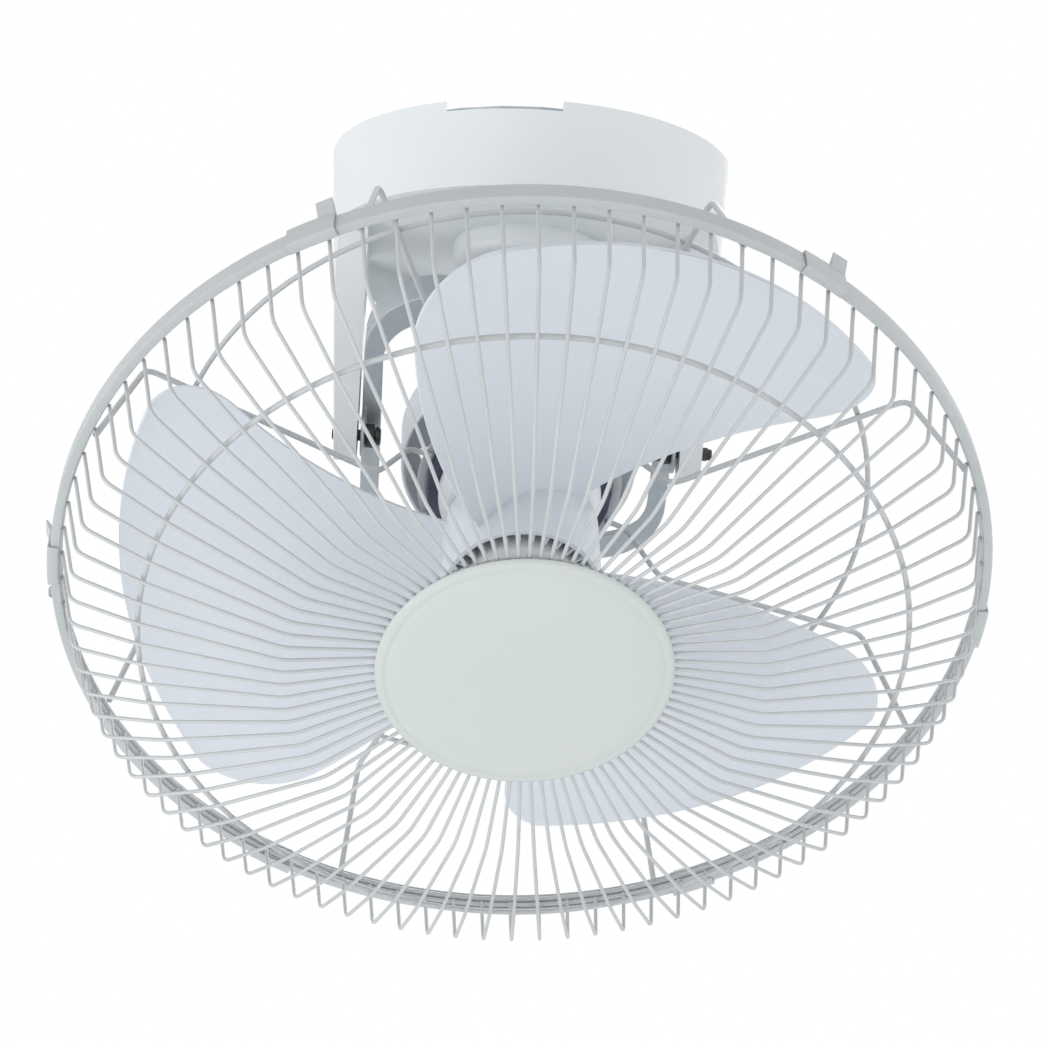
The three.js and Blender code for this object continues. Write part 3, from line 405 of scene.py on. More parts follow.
def piece(name, shape, where, body, slot, nodes, bevel=0.0, segments=2, smooth=32):
    """Places a bmesh and keeps it as a piece, with its sharp edges eased."""
    bmesh.ops.transform(shape, matrix=where, verts=shape.verts)
    bmesh.ops.recalc_face_normals(shape, faces=shape.faces)
    mesh = bpy.data.meshes.new(name)
    shape.to_mesh(mesh)
    shape.free()
    mesh.shade_smooth()
    mesh.set_sharp_from_angle(angle=math.radians(smooth))
    obj = bpy.data.objects.new(name, mesh)
    if bevel:
        ease = obj.modifiers.new("eased edges", "BEVEL")
        ease.width = bevel * 0.001
        ease.segments = segments
        ease.limit_method = "ANGLE"
        ease.angle_limit = math.radians(smooth)
        ease.harden_normals = True
    keep(obj, body, slot, nodes)


# ---------------------------------------------------------------- outlines


def arc(centre, radius, start, end, steps):
    """Points on a circle, from a start to an end angle in degrees."""
    angles = [math.radians(start + (end - start) * k / steps) for k in range(steps + 1)]
    return [(centre[0] + radius * math.cos(a), centre[1] + radius * math.sin(a)) for a in angles]


def bend(start, corner, end, steps=10):
    """Points on the curve that leaves a start for a corner and turns to the end."""
    start, corner, end = Vector(start), Vector(corner), Vector(end)
    ratios = [k / steps for k in range(steps + 1)]
    return [tuple(start * (1 - t) ** 2 + corner * 2 * t * (1 - t) + end * t * t) for t in ratios]


def rounded_corner(before, corner, after, radius, steps):
    """The points that take a corner round; a corner on the axis stays sharp."""
    here = Vector(corner)
    back = Vector(before) - here
    ahead = Vector(after) - here
    if corner[0] == 0 or back.length < 1e-6 or ahead.length < 1e-6:
        return [tuple(here)]
    cut = min(radius, back.length * 0.45, ahead.length * 0.45)
    return bend(here + back.normalized() * cut, here, here + ahead.normalized() * cut, steps)


def filleted(profile, radius, steps=4):
    """A closed profile with rounded corners."""
    points = []
    for i, corner in enumerate(profile):
        after = profile[(i + 1) % len(profile)]
        points += rounded_corner(profile[i - 1], corner, after, radius, steps)
    return points


def rounded_path(path, radius, steps=4):
    """An open path whose corners follow the bending tool's radius."""
    points = [Vector(path[0])]
    for before, corner, after in zip(path, path[1:], path[2:]):
        points += rounded_corner(before, corner, after, radius, steps)
    return [*points, Vector(path[-1])]


def rounded_rectangle(x, y, radius, steps, middle=0):
    """An outline whose corners turn about four centres, x and y away from the middle."""
    return [*arc((middle + x, y), radius, 0, 90, steps), *arc((middle - x, y), radius, 90, 180, steps),
            *arc((middle - x, -y), radius, 180, 270, steps),
            *arc((middle + x, -y), radius, 270, 360, steps)]


# ---------------------------------------------------------------- making and joining shapes


def turn(axis, degrees):
    return Matrix.Rotation(math.radians(degrees), 4, axis)


def shift(x, y, z):
    return Matrix.Translation((x, y, z))


FACING_X = turn("Z", 90) @ turn("X", 90)      # a flat outline stood up to face along X
LYING_X = turn("Y", 90)                        # a turned shape laid along X
LYING_Y = turn("X", -90)                       # a turned shape laid along Y


def moved(shape, *steps):
    """The shape after the given matrices, in order."""
    for step in steps:
        bmesh.ops.transform(shape, matrix=step, verts=shape.verts)
    return shape


def around(count, make, phase=0):
    """Shapes spaced evenly round the axis, from a phase in degrees."""
    return [moved(make(), turn("Z", phase + 360 / count * i)) for i in range(count)]


def turned(profile, steps, sweep=360):
    """A profile of (radius, height) points spun round Z; one that starts and ends there stays open."""
    shape = bmesh.new()
    corners = [shape.verts.new((radius, 0, height)) for radius, height in profile]
    edges = [shape.edges.new((a, b)) for a, b in zip(corners, corners[1:])]
    if profile[0][0] > 0 or profile[-1][0] > 0:
        edges.append(shape.edges.new((corners[-1], corners[0])))
    whole = sweep == 360
    if not whole:
        shape.faces.new(corners)
    bmesh.ops.spin(shape, geom=corners + edges + shape.faces[:], cent=(0, 0, 0), axis=(0, 0, 1),
                   angle=math.radians(sweep), steps=steps, use_merge=whole)
    bmesh.ops.remove_doubles(shape, verts=shape.verts, dist=1e-4)
    bmesh.ops.recalc_face_normals(shape, faces=shape.faces)
    return shape


def prism(outline, low, high):
    """An outline of (x, y) points raised from low to high."""
    shape = bmesh.new()
    base = shape.faces.new([shape.verts.new((x, y, low)) for x, y in outline])
    raised = bmesh.ops.extrude_face_region(shape, geom=[base])
    corners = [item for item in raised["geom"] if isinstance(item, bmesh.types.BMVert)]
    bmesh.ops.translate(shape, verts=corners, vec=(0, 0, high - low))
    bmesh.ops.recalc_face_normals(shape, faces=shape.faces)
    return shape


def block(x, y, z):
    """A box between two values along each axis."""
    return prism([(x[0], y[0]), (x[1], y[0]), (x[1], y[1]), (x[0], y[1])], *z)


def cone(radius_low, radius_high, low, high, segments):
    shape = bmesh.new()
    bmesh.ops.create_cone(shape, cap_ends=True, segments=segments, radius1=radius_low,
                          radius2=radius_high, depth=high - low)
    bmesh.ops.translate(shape, verts=shape.verts, vec=(0, 0, (low + high) / 2))
    return shape


def rod(radius, low, high, segments=32):
    return cone(radius, radius, low, high, segments)


def temporary(shape):
    mesh = bpy.data.meshes.new("tool")
    shape.to_mesh(mesh)
    shape.free()
    obj = bpy.data.objects.new("tool", mesh)
    bpy.context.scene.collection.objects.link(obj)
    return obj


def combined(operation, base, *tools):
    """Joins, cuts or intersects a bmesh with others."""
    body = temporary(base)
    cutters = [temporary(tool) for tool in tools]
    for cutter in cutters:
        step = body.modifiers.new("step", "BOOLEAN")
        step.operation = operation
        step.solver = "EXACT"
        step.object = cutter
    result = bmesh.new()
    result.from_object(body, bpy.context.evaluated_depsgraph_get())
    for obj in [body, *cutters]:
        bpy.data.objects.remove(obj)
    bmesh.ops.remove_doubles(result, verts=result.verts, dist=1e-3)
    bmesh.ops.dissolve_degenerate(result, edges=result.edges, dist=1e-3)
    return result


def together(*shapes):
    """Several shapes in one bmesh, side by side."""
    whole = bmesh.new()
    for shape in shapes:
        mesh = bpy.data.meshes.new("part")
        shape.to_mesh(mesh)
        shape.free()
        whole.from_mesh(mesh)
        bpy.data.meshes.remove(mesh)
    return whole


# ---------------------------------------------------------------- bent wires


class WireForm:
    """Wires of one piece: splines with a round section, in the head's frame."""

    def __init__(self, name, thickness, sides=3):
        self.curve = bpy.data.curves.new(name, "CURVE")
        self.curve.dimensions = "3D"
        self.curve.bevel_depth = thickness * 0.0005
        self.curve.bevel_resolution = sides
        self.curve.use_fill_caps = True
        self.thickness = thickness

    def add(self, points, thickness=None, closed=False):
        spline = self.curve.splines.new("POLY")
        spline.points.add(len(points) - 1)
        scale = (thickness or self.thickness) / self.thickness
        for spot, point in zip(spline.points, points):
            spot.co = (*(HEAD @ Vector(point)), 1)
            spot.radius = scale
        spline.use_cyclic_u = closed
        spline.use_smooth = True
        return self

    def radial(self, path, azimuth):
        """A wire in a plane through the axis, from (radius, height) points."""
        angle = math.radians(azimuth)
        across, along = math.cos(angle), math.sin(angle)
        return self.add([(radius * across, radius * along, height) for radius, height in path])

    def ring(self, radius, height, thickness=None, steps=144):
        flat = arc((0, 0), radius, 0, 360 - 360 / steps, steps - 1)
        return self.add([(x, y, height) for x, y in flat], thickness, closed=True)

    def keep_as(self, name, node):
        obj = bpy.data.objects.new(name, self.curve)
        keep(obj, "head", "coated_wire", [node])


def make_front_guard():
    """Bent wires on their rim wire, with a middle ring, and an inner ring behind the emblem's edge."""
    guard = WireForm("front guard wires", WIRE, sides=2)
    path = rounded_path(FRONT_PATH, FRONT_BEND)
    for i in range(FRONT_WIRES):
        guard.radial(path, i * 360 / FRONT_WIRES)
    guard.ring(RIM_RADIUS, -RIM_OFFSET, RIM_WIRE)
    guard.keep_as("front_guard_wires", "front_guard")
    mid = WireForm("mid ring", RING_WIRE).ring(*MID_RING)
    mid.keep_as("front_guard_mid_ring", "guard_mid_ring")
    inner = WireForm("inner ring", RING_WIRE).ring(*INNER_RING, steps=96)
    inner.keep_as("front_guard_inner_ring", "guard_inner_ring")


def make_rear_guard():
    """Bent spokes from the rim to the hub plate, with a ring near their shoulders."""
    path = rounded_path(SPOKE_PATH, SPOKE_BEND)
    for i in range(REAR_SPOKES):
        spoke = WireForm("rear spoke", SPOKE).radial(path, SPOKE_PHASE + 360 / REAR_SPOKES * i)
        spoke.keep_as(f"rear_guard_spoke_{i + 1}", f"rear_spoke_{i + 1}")
    ring = WireForm("rear ring", RING_WIRE).ring(*REAR_RING)
    ring.keep_as("rear_guard_ring", "rear_ring")
    rim = WireForm("rear rim", RIM_WIRE).ring(RIM_RADIUS, RIM_OFFSET)
    rim.keep_as("rear_guard_rim", "rear_rim")


# ---------------------------------------------------------------- band and clips


def make_band():
    """A rolled strip round both rim wires, with its two lips turned in over them."""
    inner, lip = GUARD_RADIUS - BAND_THICK, GUARD_RADIUS - BAND_LIP
    half, within = BAND_HALF, BAND_HALF - BAND_THICK
    section = filleted([
        (GUARD_RADIUS, -half), (GUARD_RADIUS, half), (lip, half), (lip, within),
        (inner, within), (inner, -within), (lip, -within), (lip, -half),
    ], 0.7, 3)
    piece("guard_band_skin", turned(section, 180), HEAD, "head", "painted_steel", ["guard_band"])


def make_clip(number):
    """A pressed clip over the band, with its lever standing up at one end."""
    seat = GUARD_RADIUS + SEAT_GAP
    outer = seat + CLIP_THICK
    lip = GUARD_RADIUS - CLIP_LIP
    half = BAND_HALF + SEAT_GAP
    over = half + CLIP_THICK
    section = filleted([
        (outer, -over), (outer, over), (lip, over), (lip, half), (seat, half), (seat, -half),
        (lip, -half), (lip, -over),
    ], 0.6, 2)
    clip = moved(turned(section, 6, CLIP_SPAN), turn("Z", -CLIP_SPAN / 2))
    lever = prism([(outer - 4, over - 0.5), (outer - 0.4, over - 0.5), (outer + 2.7, over + 7.6),
                   (outer + 1.9, over + 8.1)], 3.5, 11.8)
    moved(lever, turn("X", 90), Matrix.Scale(-1, 4, (0, 1, 0)))
    azimuth = CLIP_PHASE + 360 / CLIPS * (number - 1)
    piece(f"guard_clip_skin_{number}", together(clip, lever), HEAD @ turn("Z", azimuth), "head",
          "painted_steel", [f"guard_clip_{number}"], bevel=0.35)


def make_band_screw():
    """The slotted head of the screw that closes the band."""
    head = turned([(0, 0), (3, 0), (3, 0.9), (2.2, 1.8), (0, 2.0)], 32)
    slot = block((-3.2, 3.2), (-0.4, 0.4), (1.2, 3))
    screw = combined("DIFFERENCE", head, slot)
    moved(screw, LYING_X, shift(GUARD_RADIUS + SEAT_GAP, 0, 0), turn("Z", BAND_SCREW_AZIMUTH))
    piece("band_screw_head", screw, HEAD, "head", "polished_steel", ["band_screw"], bevel=0.12)


# ---------------------------------------------------------------- blades and hub


def blade_spot(radius, chord):
    """A point of the blade's middle surface; chord runs from the front to the rear edge."""
    outward = radius / BLADE_MID - 1
    corner = max(0.0, radius - (TIP_RADIUS - TIP_CORNER))
    inset = math.degrees((TIP_CORNER - math.sqrt(TIP_CORNER ** 2 - corner ** 2)) / radius)
    swing = BLADE_SWEEP * outward + inset + (BLADE_ARC - 2 * inset) * chord
    azimuth = math.radians(BLADE_PHASE + swing)
    rise = BLADE_RISE * (1 + outward / 3) * swing / BLADE_ARC
    camber = 4 * BLADE_CAMBER * chord * (1 - chord)
    height = BLADE_FRONT - BLADE_LEAN * BLADE_RISE * outward + rise + camber
    return radius * math.cos(azimuth), radius * math.sin(azimuth), height


def make_blade():
    """One pressed sheet with a rounded tip; its rows lie closer together towards the tip."""
    rows, columns = 44, 30
    root, tip = HUB_RADIUS - HUB_WALL / 2, TIP_RADIUS - 0.4
    sheet = bmesh.new()
    bmesh.ops.create_grid(sheet, x_segments=columns, y_segments=rows, size=1)
    for corner in sheet.verts:
        along = (corner.co.y + 1) / 2
        chord = (corner.co.x + 1) / 2
        corner.co = blade_spot(root + (tip - root) * math.sin(along * math.pi / 2), chord)
    bmesh.ops.recalc_face_normals(sheet, faces=sheet.faces)
    bmesh.ops.solidify(sheet, geom=sheet.faces[:], thickness=BLADE_THICK)
    bmesh.ops.recalc_face_normals(sheet, faces=sheet.faces)
    return sheet


def make_fan_blades():
    """The blades on their hub, which has fine fins in front of its floor and strong ribs behind."""
    inner, shelf, boss_back = HUB_RADIUS - HUB_WALL, HUB_FLOOR + HUB_WALL, HUB_BACK - 6
    hub = turned(filleted([
        (HUB_RADIUS, HUB_FRONT), (HUB_RADIUS, HUB_BACK), (inner, HUB_BACK),
        (inner, shelf), (BOSS_RADIUS, shelf), (BOSS_RADIUS, boss_back),
        (SHAFT_WAY, boss_back), (SHAFT_WAY, HUB_FLOOR), (inner, HUB_FLOOR), (inner, HUB_FRONT),
    ], 0.8, 2), 96)
    fins = around(HUB_FINS, lambda: block((SPINNER_RADIUS + 1.2, inner + 0.4), (-0.6, 0.6),
                                          (1.5, HUB_FLOOR + 0.5)))
    ribs = around(HUB_RIBS, lambda: block((BOSS_RADIUS - 1, inner + 0.4), (-1, 1),
                                          (HUB_FLOOR + 1, HUB_BACK - 10)))
    whole = together(hub, *fins, *ribs, *around(BLADES, make_blade))
    piece("fan_blade_set", whole, HEAD, "blades", "blade_plastic", ["fan_blades"],
          bevel=0.5, smooth=50)


def make_spinner():
    """The cap in the hub's mouth, with a stem that reaches back to the hub's floor."""
    front, back = HUB_FRONT - 2, HUB_FLOOR - SEAT_GAP
    shoulder, skirt = front + 4.6, front + 15
    inside = SPINNER_RADIUS - SPINNER_WALL
    shell = turned([
        (0, front), (18, front + 0.3), (SPINNER_RADIUS - 3.5, front + 1.2),
        (SPINNER_RADIUS - 1, front + 2.6), (SPINNER_RADIUS, shoulder),
        (SPINNER_RADIUS, skirt), (inside, skirt), (inside, shoulder), (BOSS_RADIUS, shoulder),
        (BOSS_RADIUS, back), (SHAFT_WAY, back), (SHAFT_WAY, front + 3), (0, front + 3),
    ], 72)
    piece("hub_cap", shell, HEAD, "blades", "spinner_plastic", ["spinner"], bevel=0.3)


# ---------------------------------------------------------------- emblem


def make_hook():
    """A post behind the disc, whose nose catches behind the inner ring."""
    post = block((HOOK_OUTSIDE - 2.5, HOOK_OUTSIDE), (-4, 4), (EMBLEM_BACK - 0.7, HOOK_END))
    nose = block((HOOK_OUTSIDE - 1, HOOK_OUTSIDE + 2.5), (-4, 4), (HOOK_END - 1.4, HOOK_END))
    return together(post, nose)


def make_emblem():
    """A plain domed disc with a thin raised rim line, held by its hooks."""
    front = EMBLEM_FRONT
    disc = turned([
        (0, front + 0.05), (30, front + 0.25), (50, front + 0.95), (61.6, front + 1.9),
        (65.8, front + 2.5), (66.4, front + 2.85), (67.1, front + 2.5), (69.6, front + 3.1),
        (71, front + 4.0), (EMBLEM_RADIUS, front + 5.0), (70.9, front + 5.4),
        (65, EMBLEM_BACK), (0, EMBLEM_BACK),
    ], 144)
    hooks = around(HOOKS, make_hook, HOOK_PHASE)
    piece("emblem_disc", together(disc, *hooks), HEAD, "head", "emblem_plastic", ["emblem"],
          bevel=0.15, smooth=60)


# ---------------------------------------------------------------- motor


def make_motor_front_cover():
    """A domed cover with a pocket for the front bearing, and four lugs to the stator."""
    side, inside = FRONT_COVER_RADIUS, FRONT_COVER_RADIUS - MOTOR_WALL
    crown, crown_inside = side * 0.9, side * 0.9 - MOTOR_WALL
    front, behind, pocket = MOTOR_FRONT, MOTOR_FRONT + MOTOR_WALL, MOTOR_FRONT + 8
    mouth = SHAFT_HOLE + 1
    cover = turned(filleted([
        (mouth, front), (26, front + 0.8), (crown, front + 7.5), (side, COVER_BACK - 5),
        (side, COVER_BACK), (inside, COVER_BACK), (inside, COVER_BACK - 5),
        (crown_inside, front + 8.5), (BEARING_POCKET, behind), (BEARING_POCKET, pocket),
        (BEARING_SEAT, pocket), (BEARING_SEAT, behind), (mouth, behind),
    ], 3.0), 96)
    lugs = around(4, lambda: block((side - 1.5, LUG_REACH), (-6, 6), (COVER_BACK - 4, COVER_BACK)), 45)
    whole = combined("UNION", cover, *lugs)
    piece("motor_front_shell", whole, HEAD, "head", "head_plastic", ["motor_front_cover"], bevel=0.5)


def make_hub_plate():
    """The painted washer round the stator that carries the spokes' ends."""
    washer = turned(filleted([
        (HUB_PLATE_HOLE, HUB_PLATE_FRONT), (HUB_PLATE_RADIUS, HUB_PLATE_FRONT),
        (HUB_PLATE_RADIUS, HUB_PLATE_BACK), (HUB_PLATE_HOLE, HUB_PLATE_BACK),
    ], 0.5, 2), 96)
    piece("hub_plate_washer", washer, HEAD, "head", "painted_steel", ["rear_hub_plate"])


def make_motor_rear_cover():
    """The drum behind the stator: vents in its back, and two bosses for the cross pins."""
    wall = DRUM_BACK - MOTOR_WALL
    pocket = wall - 5
    inside, sleeve = DRUM_RADIUS - MOTOR_WALL, SLEEVE_RADIUS + MOTOR_WALL
    drum = turned(filleted([
        (DRUM_RADIUS, DRUM_FRONT), (DRUM_RADIUS, DRUM_BACK), (SHAFT_HOLE, DRUM_BACK),
        (SHAFT_HOLE, wall), (BEARING_SEAT, wall), (BEARING_SEAT, pocket), (BEARING_POCKET, pocket),
        (BEARING_POCKET, wall), (SLEEVE_RADIUS, wall), (SLEEVE_RADIUS, SLEEVE_FRONT),
        (sleeve, SLEEVE_FRONT), (sleeve, wall), (inside, wall), (inside, DRUM_FRONT),
    ], 1.6, 3), 96)
    vents = around(DRUM_VENTS, lambda: prism(rounded_rectangle(1.5, 7.2, 1.8, 4, middle=50.5),
                                             wall - 1, DRUM_BACK + 1), SPOKE_PHASE)
    height = shift(0, 0, PIVOT_HEIGHT)
    bosses = around(2, lambda: moved(rod(8.5, 60.5, 71.5, 40), LYING_Y, height))
    holes = around(2, lambda: moved(rod(4.6, CROSS_PIN_END, 73), LYING_Y, height))
    whole = combined("DIFFERENCE", combined("UNION", drum, *bosses), *vents, *holes)
    piece("motor_rear_shell", whole, HEAD, "head", "head_plastic", ["motor_rear_cover"], bevel=0.5)


def make_gearbox():
    """A round case with fine mould lines down its side, and a lid with three screws."""
    radius, inside = GEARBOX_RADIUS, GEARBOX_RADIUS - MOTOR_WALL
    front = DRUM_BACK + SEAT_GAP
    floor, back = front + MOTOR_WALL, front + GEARBOX_LENGTH
    case = turned(filleted([(SHAFT_HOLE, front), (radius, front), (radius, back), (inside, back),
                            (inside, floor), (SHAFT_HOLE, floor)], 0.8, 2), 72)
    lines = around(12, lambda: block((radius - 0.5, radius), (-0.8, 0.8), (floor, back - 1)))
    piece("gearbox_shell", together(case, *lines), HEAD, "head", "head_plastic", ["gearbox_case"],
          bevel=0.2)
    low = back + SEAT_GAP
    high = low + GEARBOX_LID
    lid = turned(filleted([(SHAFT_WAY, low), (radius, low), (radius, high), (SHAFT_WAY, high)], 2, 5),
                 72)
    screw = [(0, 5), (2.6, 5), (2.6, 5.8), (1.8, 6.3), (0, 6.4)]
    screws = around(3, lambda: moved(turned(screw, 24), shift(29, 0, low - 0.9)), 60)
    piece("gearbox_lid", together(lid, *screws), HEAD, "head", "head_plastic", ["gearbox_cover"],
          bevel=0.2)


# ---------------------------------------------------------------- gimbal


def ring_outline(inset):
    return rounded_rectangle(RING_HALF_X - RING_CORNER, RING_HALF_Y - RING_CORNER,
                             RING_CORNER - inset, 12)


def make_gimbal_ring():
    """A bent strip with a flange turned in at the front, wider at the cross pins, and four ears."""
    front, back = RING_RAISE + RING_THICK, RING_RAISE + RING_WIDTH
    inside_x, inside_y = RING_HALF_X - RING_THICK, RING_HALF_Y - RING_THICK
    window = prism(ring_outline(RING_THICK + RING_FLANGE), RING_RAISE - 1, back)
    shorter = (inside_y - RING_END_FLANGE) / (inside_y - RING_FLANGE)
    moved(window, Matrix.Diagonal((1, shorter, 1, 1)))
    strip = combined("DIFFERENCE", prism(ring_outline(0), RING_RAISE, back),
                     prism(ring_outline(RING_THICK), front, back + 1), window)
    ear = [(RING_EAR, front), (-RING_EAR, front), *arc((0, 0), RING_EAR, 180, 360, 16)]
    ears = []
    for side in (0, 180):
        ears.append(moved(prism(ear, inside_x, RING_HALF_X), FACING_X, turn("Z", side)))
        ears.append(moved(prism(ear, inside_y, RING_HALF_Y), FACING_X, turn("Z", side + 90)))
    ring = combined("UNION", strip, *ears)
    ring = combined("DIFFERENCE", ring, moved(rod(BUSH_WAY, -BEYOND, BEYOND), LYING_X),
                    moved(rod(CROSS_PIN_WAY, -BEYOND, BEYOND), LYING_Y))
    piece("gimbal_ring_pressing", ring, GIMBAL, "gimbal", "galvanised_steel", ["gimbal_ring"],
          bevel=0.7, segments=3)


def make_gimbal_fittings():
    """Bushes inside the ring at the pivot screws, and shouldered pins through its other two sides."""
    bush_end = RING_HALF_X - RING_THICK - SEAT_GAP
    bush_start = bush_end - BUSH_LENGTH
    for name, side in (("left", 180), ("right", 0)):
        bush = turned(filleted([(BUSH_WAY, bush_start), (BUSH_RADIUS, bush_start),
                                (BUSH_RADIUS, bush_end), (BUSH_WAY, bush_end)], 0.6, 3), 48)
        piece(f"pivot_bush_ring_{name}", moved(bush, LYING_X, turn("Z", side)), GIMBAL, "gimbal",
              "dark_nylon", [f"pivot_bush_{name}"])
    collar_end = RING_HALF_Y - RING_THICK - SEAT_GAP
    collar_start = collar_end - 4
    head_start = RING_HALF_Y + SEAT_GAP
    head_end = head_start + 2.5
    for name, side in (("front", 180), ("back", 0)):
        pin = turned(filleted([
            (0, CROSS_PIN_END), (CROSS_PIN_RADIUS, CROSS_PIN_END), (CROSS_PIN_RADIUS, collar_start),
            (7, collar_start), (7, collar_end), (CROSS_PIN_RADIUS, collar_end),
            (CROSS_PIN_RADIUS, head_start), (6.5, head_start), (6.5, head_end), (0, head_end),
        ], 0.4, 2), 40)
        piece(f"cross_pin_{name}_turned", moved(pin, LYING_Y, turn("Z", side)), GIMBAL, "gimbal",
              "polished_steel", [f"cross_pin_{name}"])


def make_crank():
    """The crank arm behind the gearbox, and the ball at its end, straight above the gimbal centre."""
    upward = HEAD.to_3x3().normalized().transposed() @ Vector((0, 0, 1))
    reach = ORBIT_REACH * math.hypot(upward.x, upward.y)
    height = PIVOT_HEIGHT + ORBIT_REACH * upward.z
    where = HEAD @ turn("Z", math.degrees(math.atan2(upward.y, upward.x)))
    back = height - 5.3
    bar = prism([*arc((0, 0), 7, 90, 270, 16), *arc((reach, 0), 5, -90, 90, 14)],
                back - CRANK_THICK, back)
    stem = rod(4, CRANK_FOOT, back - 3)
    pin = moved(rod(2, back - 1, height, 20), shift(reach, 0, 0))
    nut = cone(5.5, 5.0, back - 0.1, back + 2.6, 6)
    arm = combined("UNION", bar, stem, pin, nut)
    piece("crank_bar", arm, where, "crank", "galvanised_steel", ["crank_arm"], bevel=0.3)
    ball = bmesh.new()
    bmesh.ops.create_uvsphere(ball, u_segments=32, v_segments=20, radius=BALL_RADIUS)
    ball = combined("DIFFERENCE", ball, rod(2.3, -6, 0.3, 24))
    piece("crank_ball_nylon", moved(ball, shift(reach, 0, height)), where, "crank", "dark_nylon",
          ["crank_ball"])


# ---------------------------------------------------------------- canopy


def canopy_cone(inset, low, high):
    """The space inside the canopy's tapering side between two heights, smaller by an inset."""
    slope = (CANOPY_RADIUS - LEG_OUTSIDE) / -PIVOT_Z
    radius = CANOPY_RADIUS - inset
    return cone(radius + slope * low, radius + slope * high, low, high, 144)


def pivot_way():
    """The hole for both pivot screws, from side to side."""
    return moved(rod(SCREW_WAY, -BEYOND, BEYOND), LYING_X, shift(0, 0, PIVOT_Z))


def leg_outline(inset, top):
    """A leg seen from its side: wide at the canopy, then narrow, with a round end at the pivot."""
    half, root = LEG_HALF - inset, LEG_ROOT - inset
    waist = -CANOPY_DEPTH - (-PIVOT_Z - CANOPY_DEPTH) * LEG_TAPER
    left = bend((-root, -CANOPY_DEPTH), (-half, -CANOPY_DEPTH - inset), (-half, waist), 14)
    right = bend((half, waist), (half, -CANOPY_DEPTH - inset), (root, -CANOPY_DEPTH), 14)
    return [(-root, top), *left, *arc((0, PIVOT_Z), half, 180, 360, 20), *right, (root, top)]


def make_leg(side):
    """A hollow leg with room for the fork's arm, and a boss round the pivot screw."""
    bottom = PIVOT_Z - LEG_HALF
    outside = moved(prism(leg_outline(0, -CANOPY_DEPTH + 1), LEG_INSIDE, BEYOND), FACING_X)
    channel = moved(prism(leg_outline(CANOPY_WALL, -CANOPY_DEPTH), LEG_INSIDE + LEG_WALL, BEYOND),
                    FACING_X)
    outer = combined("INTERSECT", outside, canopy_cone(0, bottom - 1, 0))
    room = combined("INTERSECT", channel, canopy_cone(CANOPY_WALL, bottom - 1, 0))
    leg = combined("DIFFERENCE", outer, room)
    boss = moved(rod(6.5, FORK_OUTSIDE + SEAT_GAP, LEG_OUTSIDE - 1), LYING_X, shift(0, 0, PIVOT_Z))
    return moved(combined("UNION", leg, boss), turn("Z", side))


def make_skirt():
    """The wall that hangs below the canopy's floor at the back, deepest in the middle."""
    top, bottom, half = -CANOPY_DEPTH + 1, -CANOPY_DEPTH - SKIRT_DEPTH, SKIRT_HALF
    knee = bottom * 0.8
    left = bend((-half, knee), (-half * 0.7, bottom), (-half * 0.3, bottom))
    right = bend((half * 0.3, bottom), (half * 0.7, bottom), (half, knee))
    outline = [(-half, top), *left, *right, (half, top)]
    wall = combined("DIFFERENCE", canopy_cone(0, bottom - 1, 0),
                    canopy_cone(CANOPY_WALL, bottom - 2, 1))
    curtain = moved(prism(outline, -BEYOND, 0), turn("X", 90))
    return combined("INTERSECT", wall, curtain)


def make_canopy():
    """The moulded canopy: its tapering side, floor, cup, back skirt, notch and two hollow legs."""
    floor_top = -CANOPY_DEPTH + CANOPY_WALL
    skirt = make_skirt()
    cup = turned(filleted([(0, CUP_BOTTOM), (CUP_RADIUS, CUP_BOTTOM), (CUP_RADIUS, floor_top),
                           (0, floor_top)], 6, 8), 96)
    whole = combined("UNION", canopy_cone(0, -CANOPY_DEPTH, 0), make_leg(0), make_leg(180), skirt, cup)
    room = canopy_cone(CANOPY_WALL, floor_top, 1)
    cup_floor = CUP_BOTTOM + CANOPY_WALL
    cup_room = rod(CUP_RADIUS - CANOPY_WALL, cup_floor, floor_top + 1, 72)
    notch = block((-47, 11), (-BEYOND, -50), (-5, 1))
    stud_way = rod(5, CUP_BOTTOM - 1, cup_floor + 1)
    slots = [moved(block((LEG_INSIDE + LEG_WALL, FORK_OUTSIDE + SEAT_GAP),
                         (-FORK_HALF - SEAT_GAP, FORK_HALF + SEAT_GAP),
                         (-CANOPY_DEPTH - 1, floor_top + 1)), turn("Z", side)) for side in (0, 180)]
    shell = combined("DIFFERENCE", whole, room, cup_room, notch, stud_way, pivot_way(), *slots)
    piece("canopy_skin", shell, CANOPY, "canopy", "canopy_plastic", ["canopy_shell"],
          bevel=1.0, segments=3, smooth=30)


def make_hanger_fork():
    """A steel strap across the canopy's hollow and down inside both legs."""
    bridge = block((-FORK_OUTSIDE, FORK_OUTSIDE), (-FORK_HALF, FORK_HALF),
                   (FORK_TOP - FORK_THICK, FORK_TOP))
    outline = [(-FORK_HALF, FORK_TOP), *arc((0, PIVOT_Z), FORK_HALF, 180, 360, 20),
               (FORK_HALF, FORK_TOP)]
    arms = around(2, lambda: moved(prism(outline, FORK_OUTSIDE - FORK_THICK, FORK_OUTSIDE), FACING_X))
    fork = combined("DIFFERENCE", combined("UNION", bridge, *arms), pivot_way())
    piece("hanger_fork_strap", fork, CANOPY, "canopy", "galvanised_steel", ["hanger_fork"], bevel=0.4)


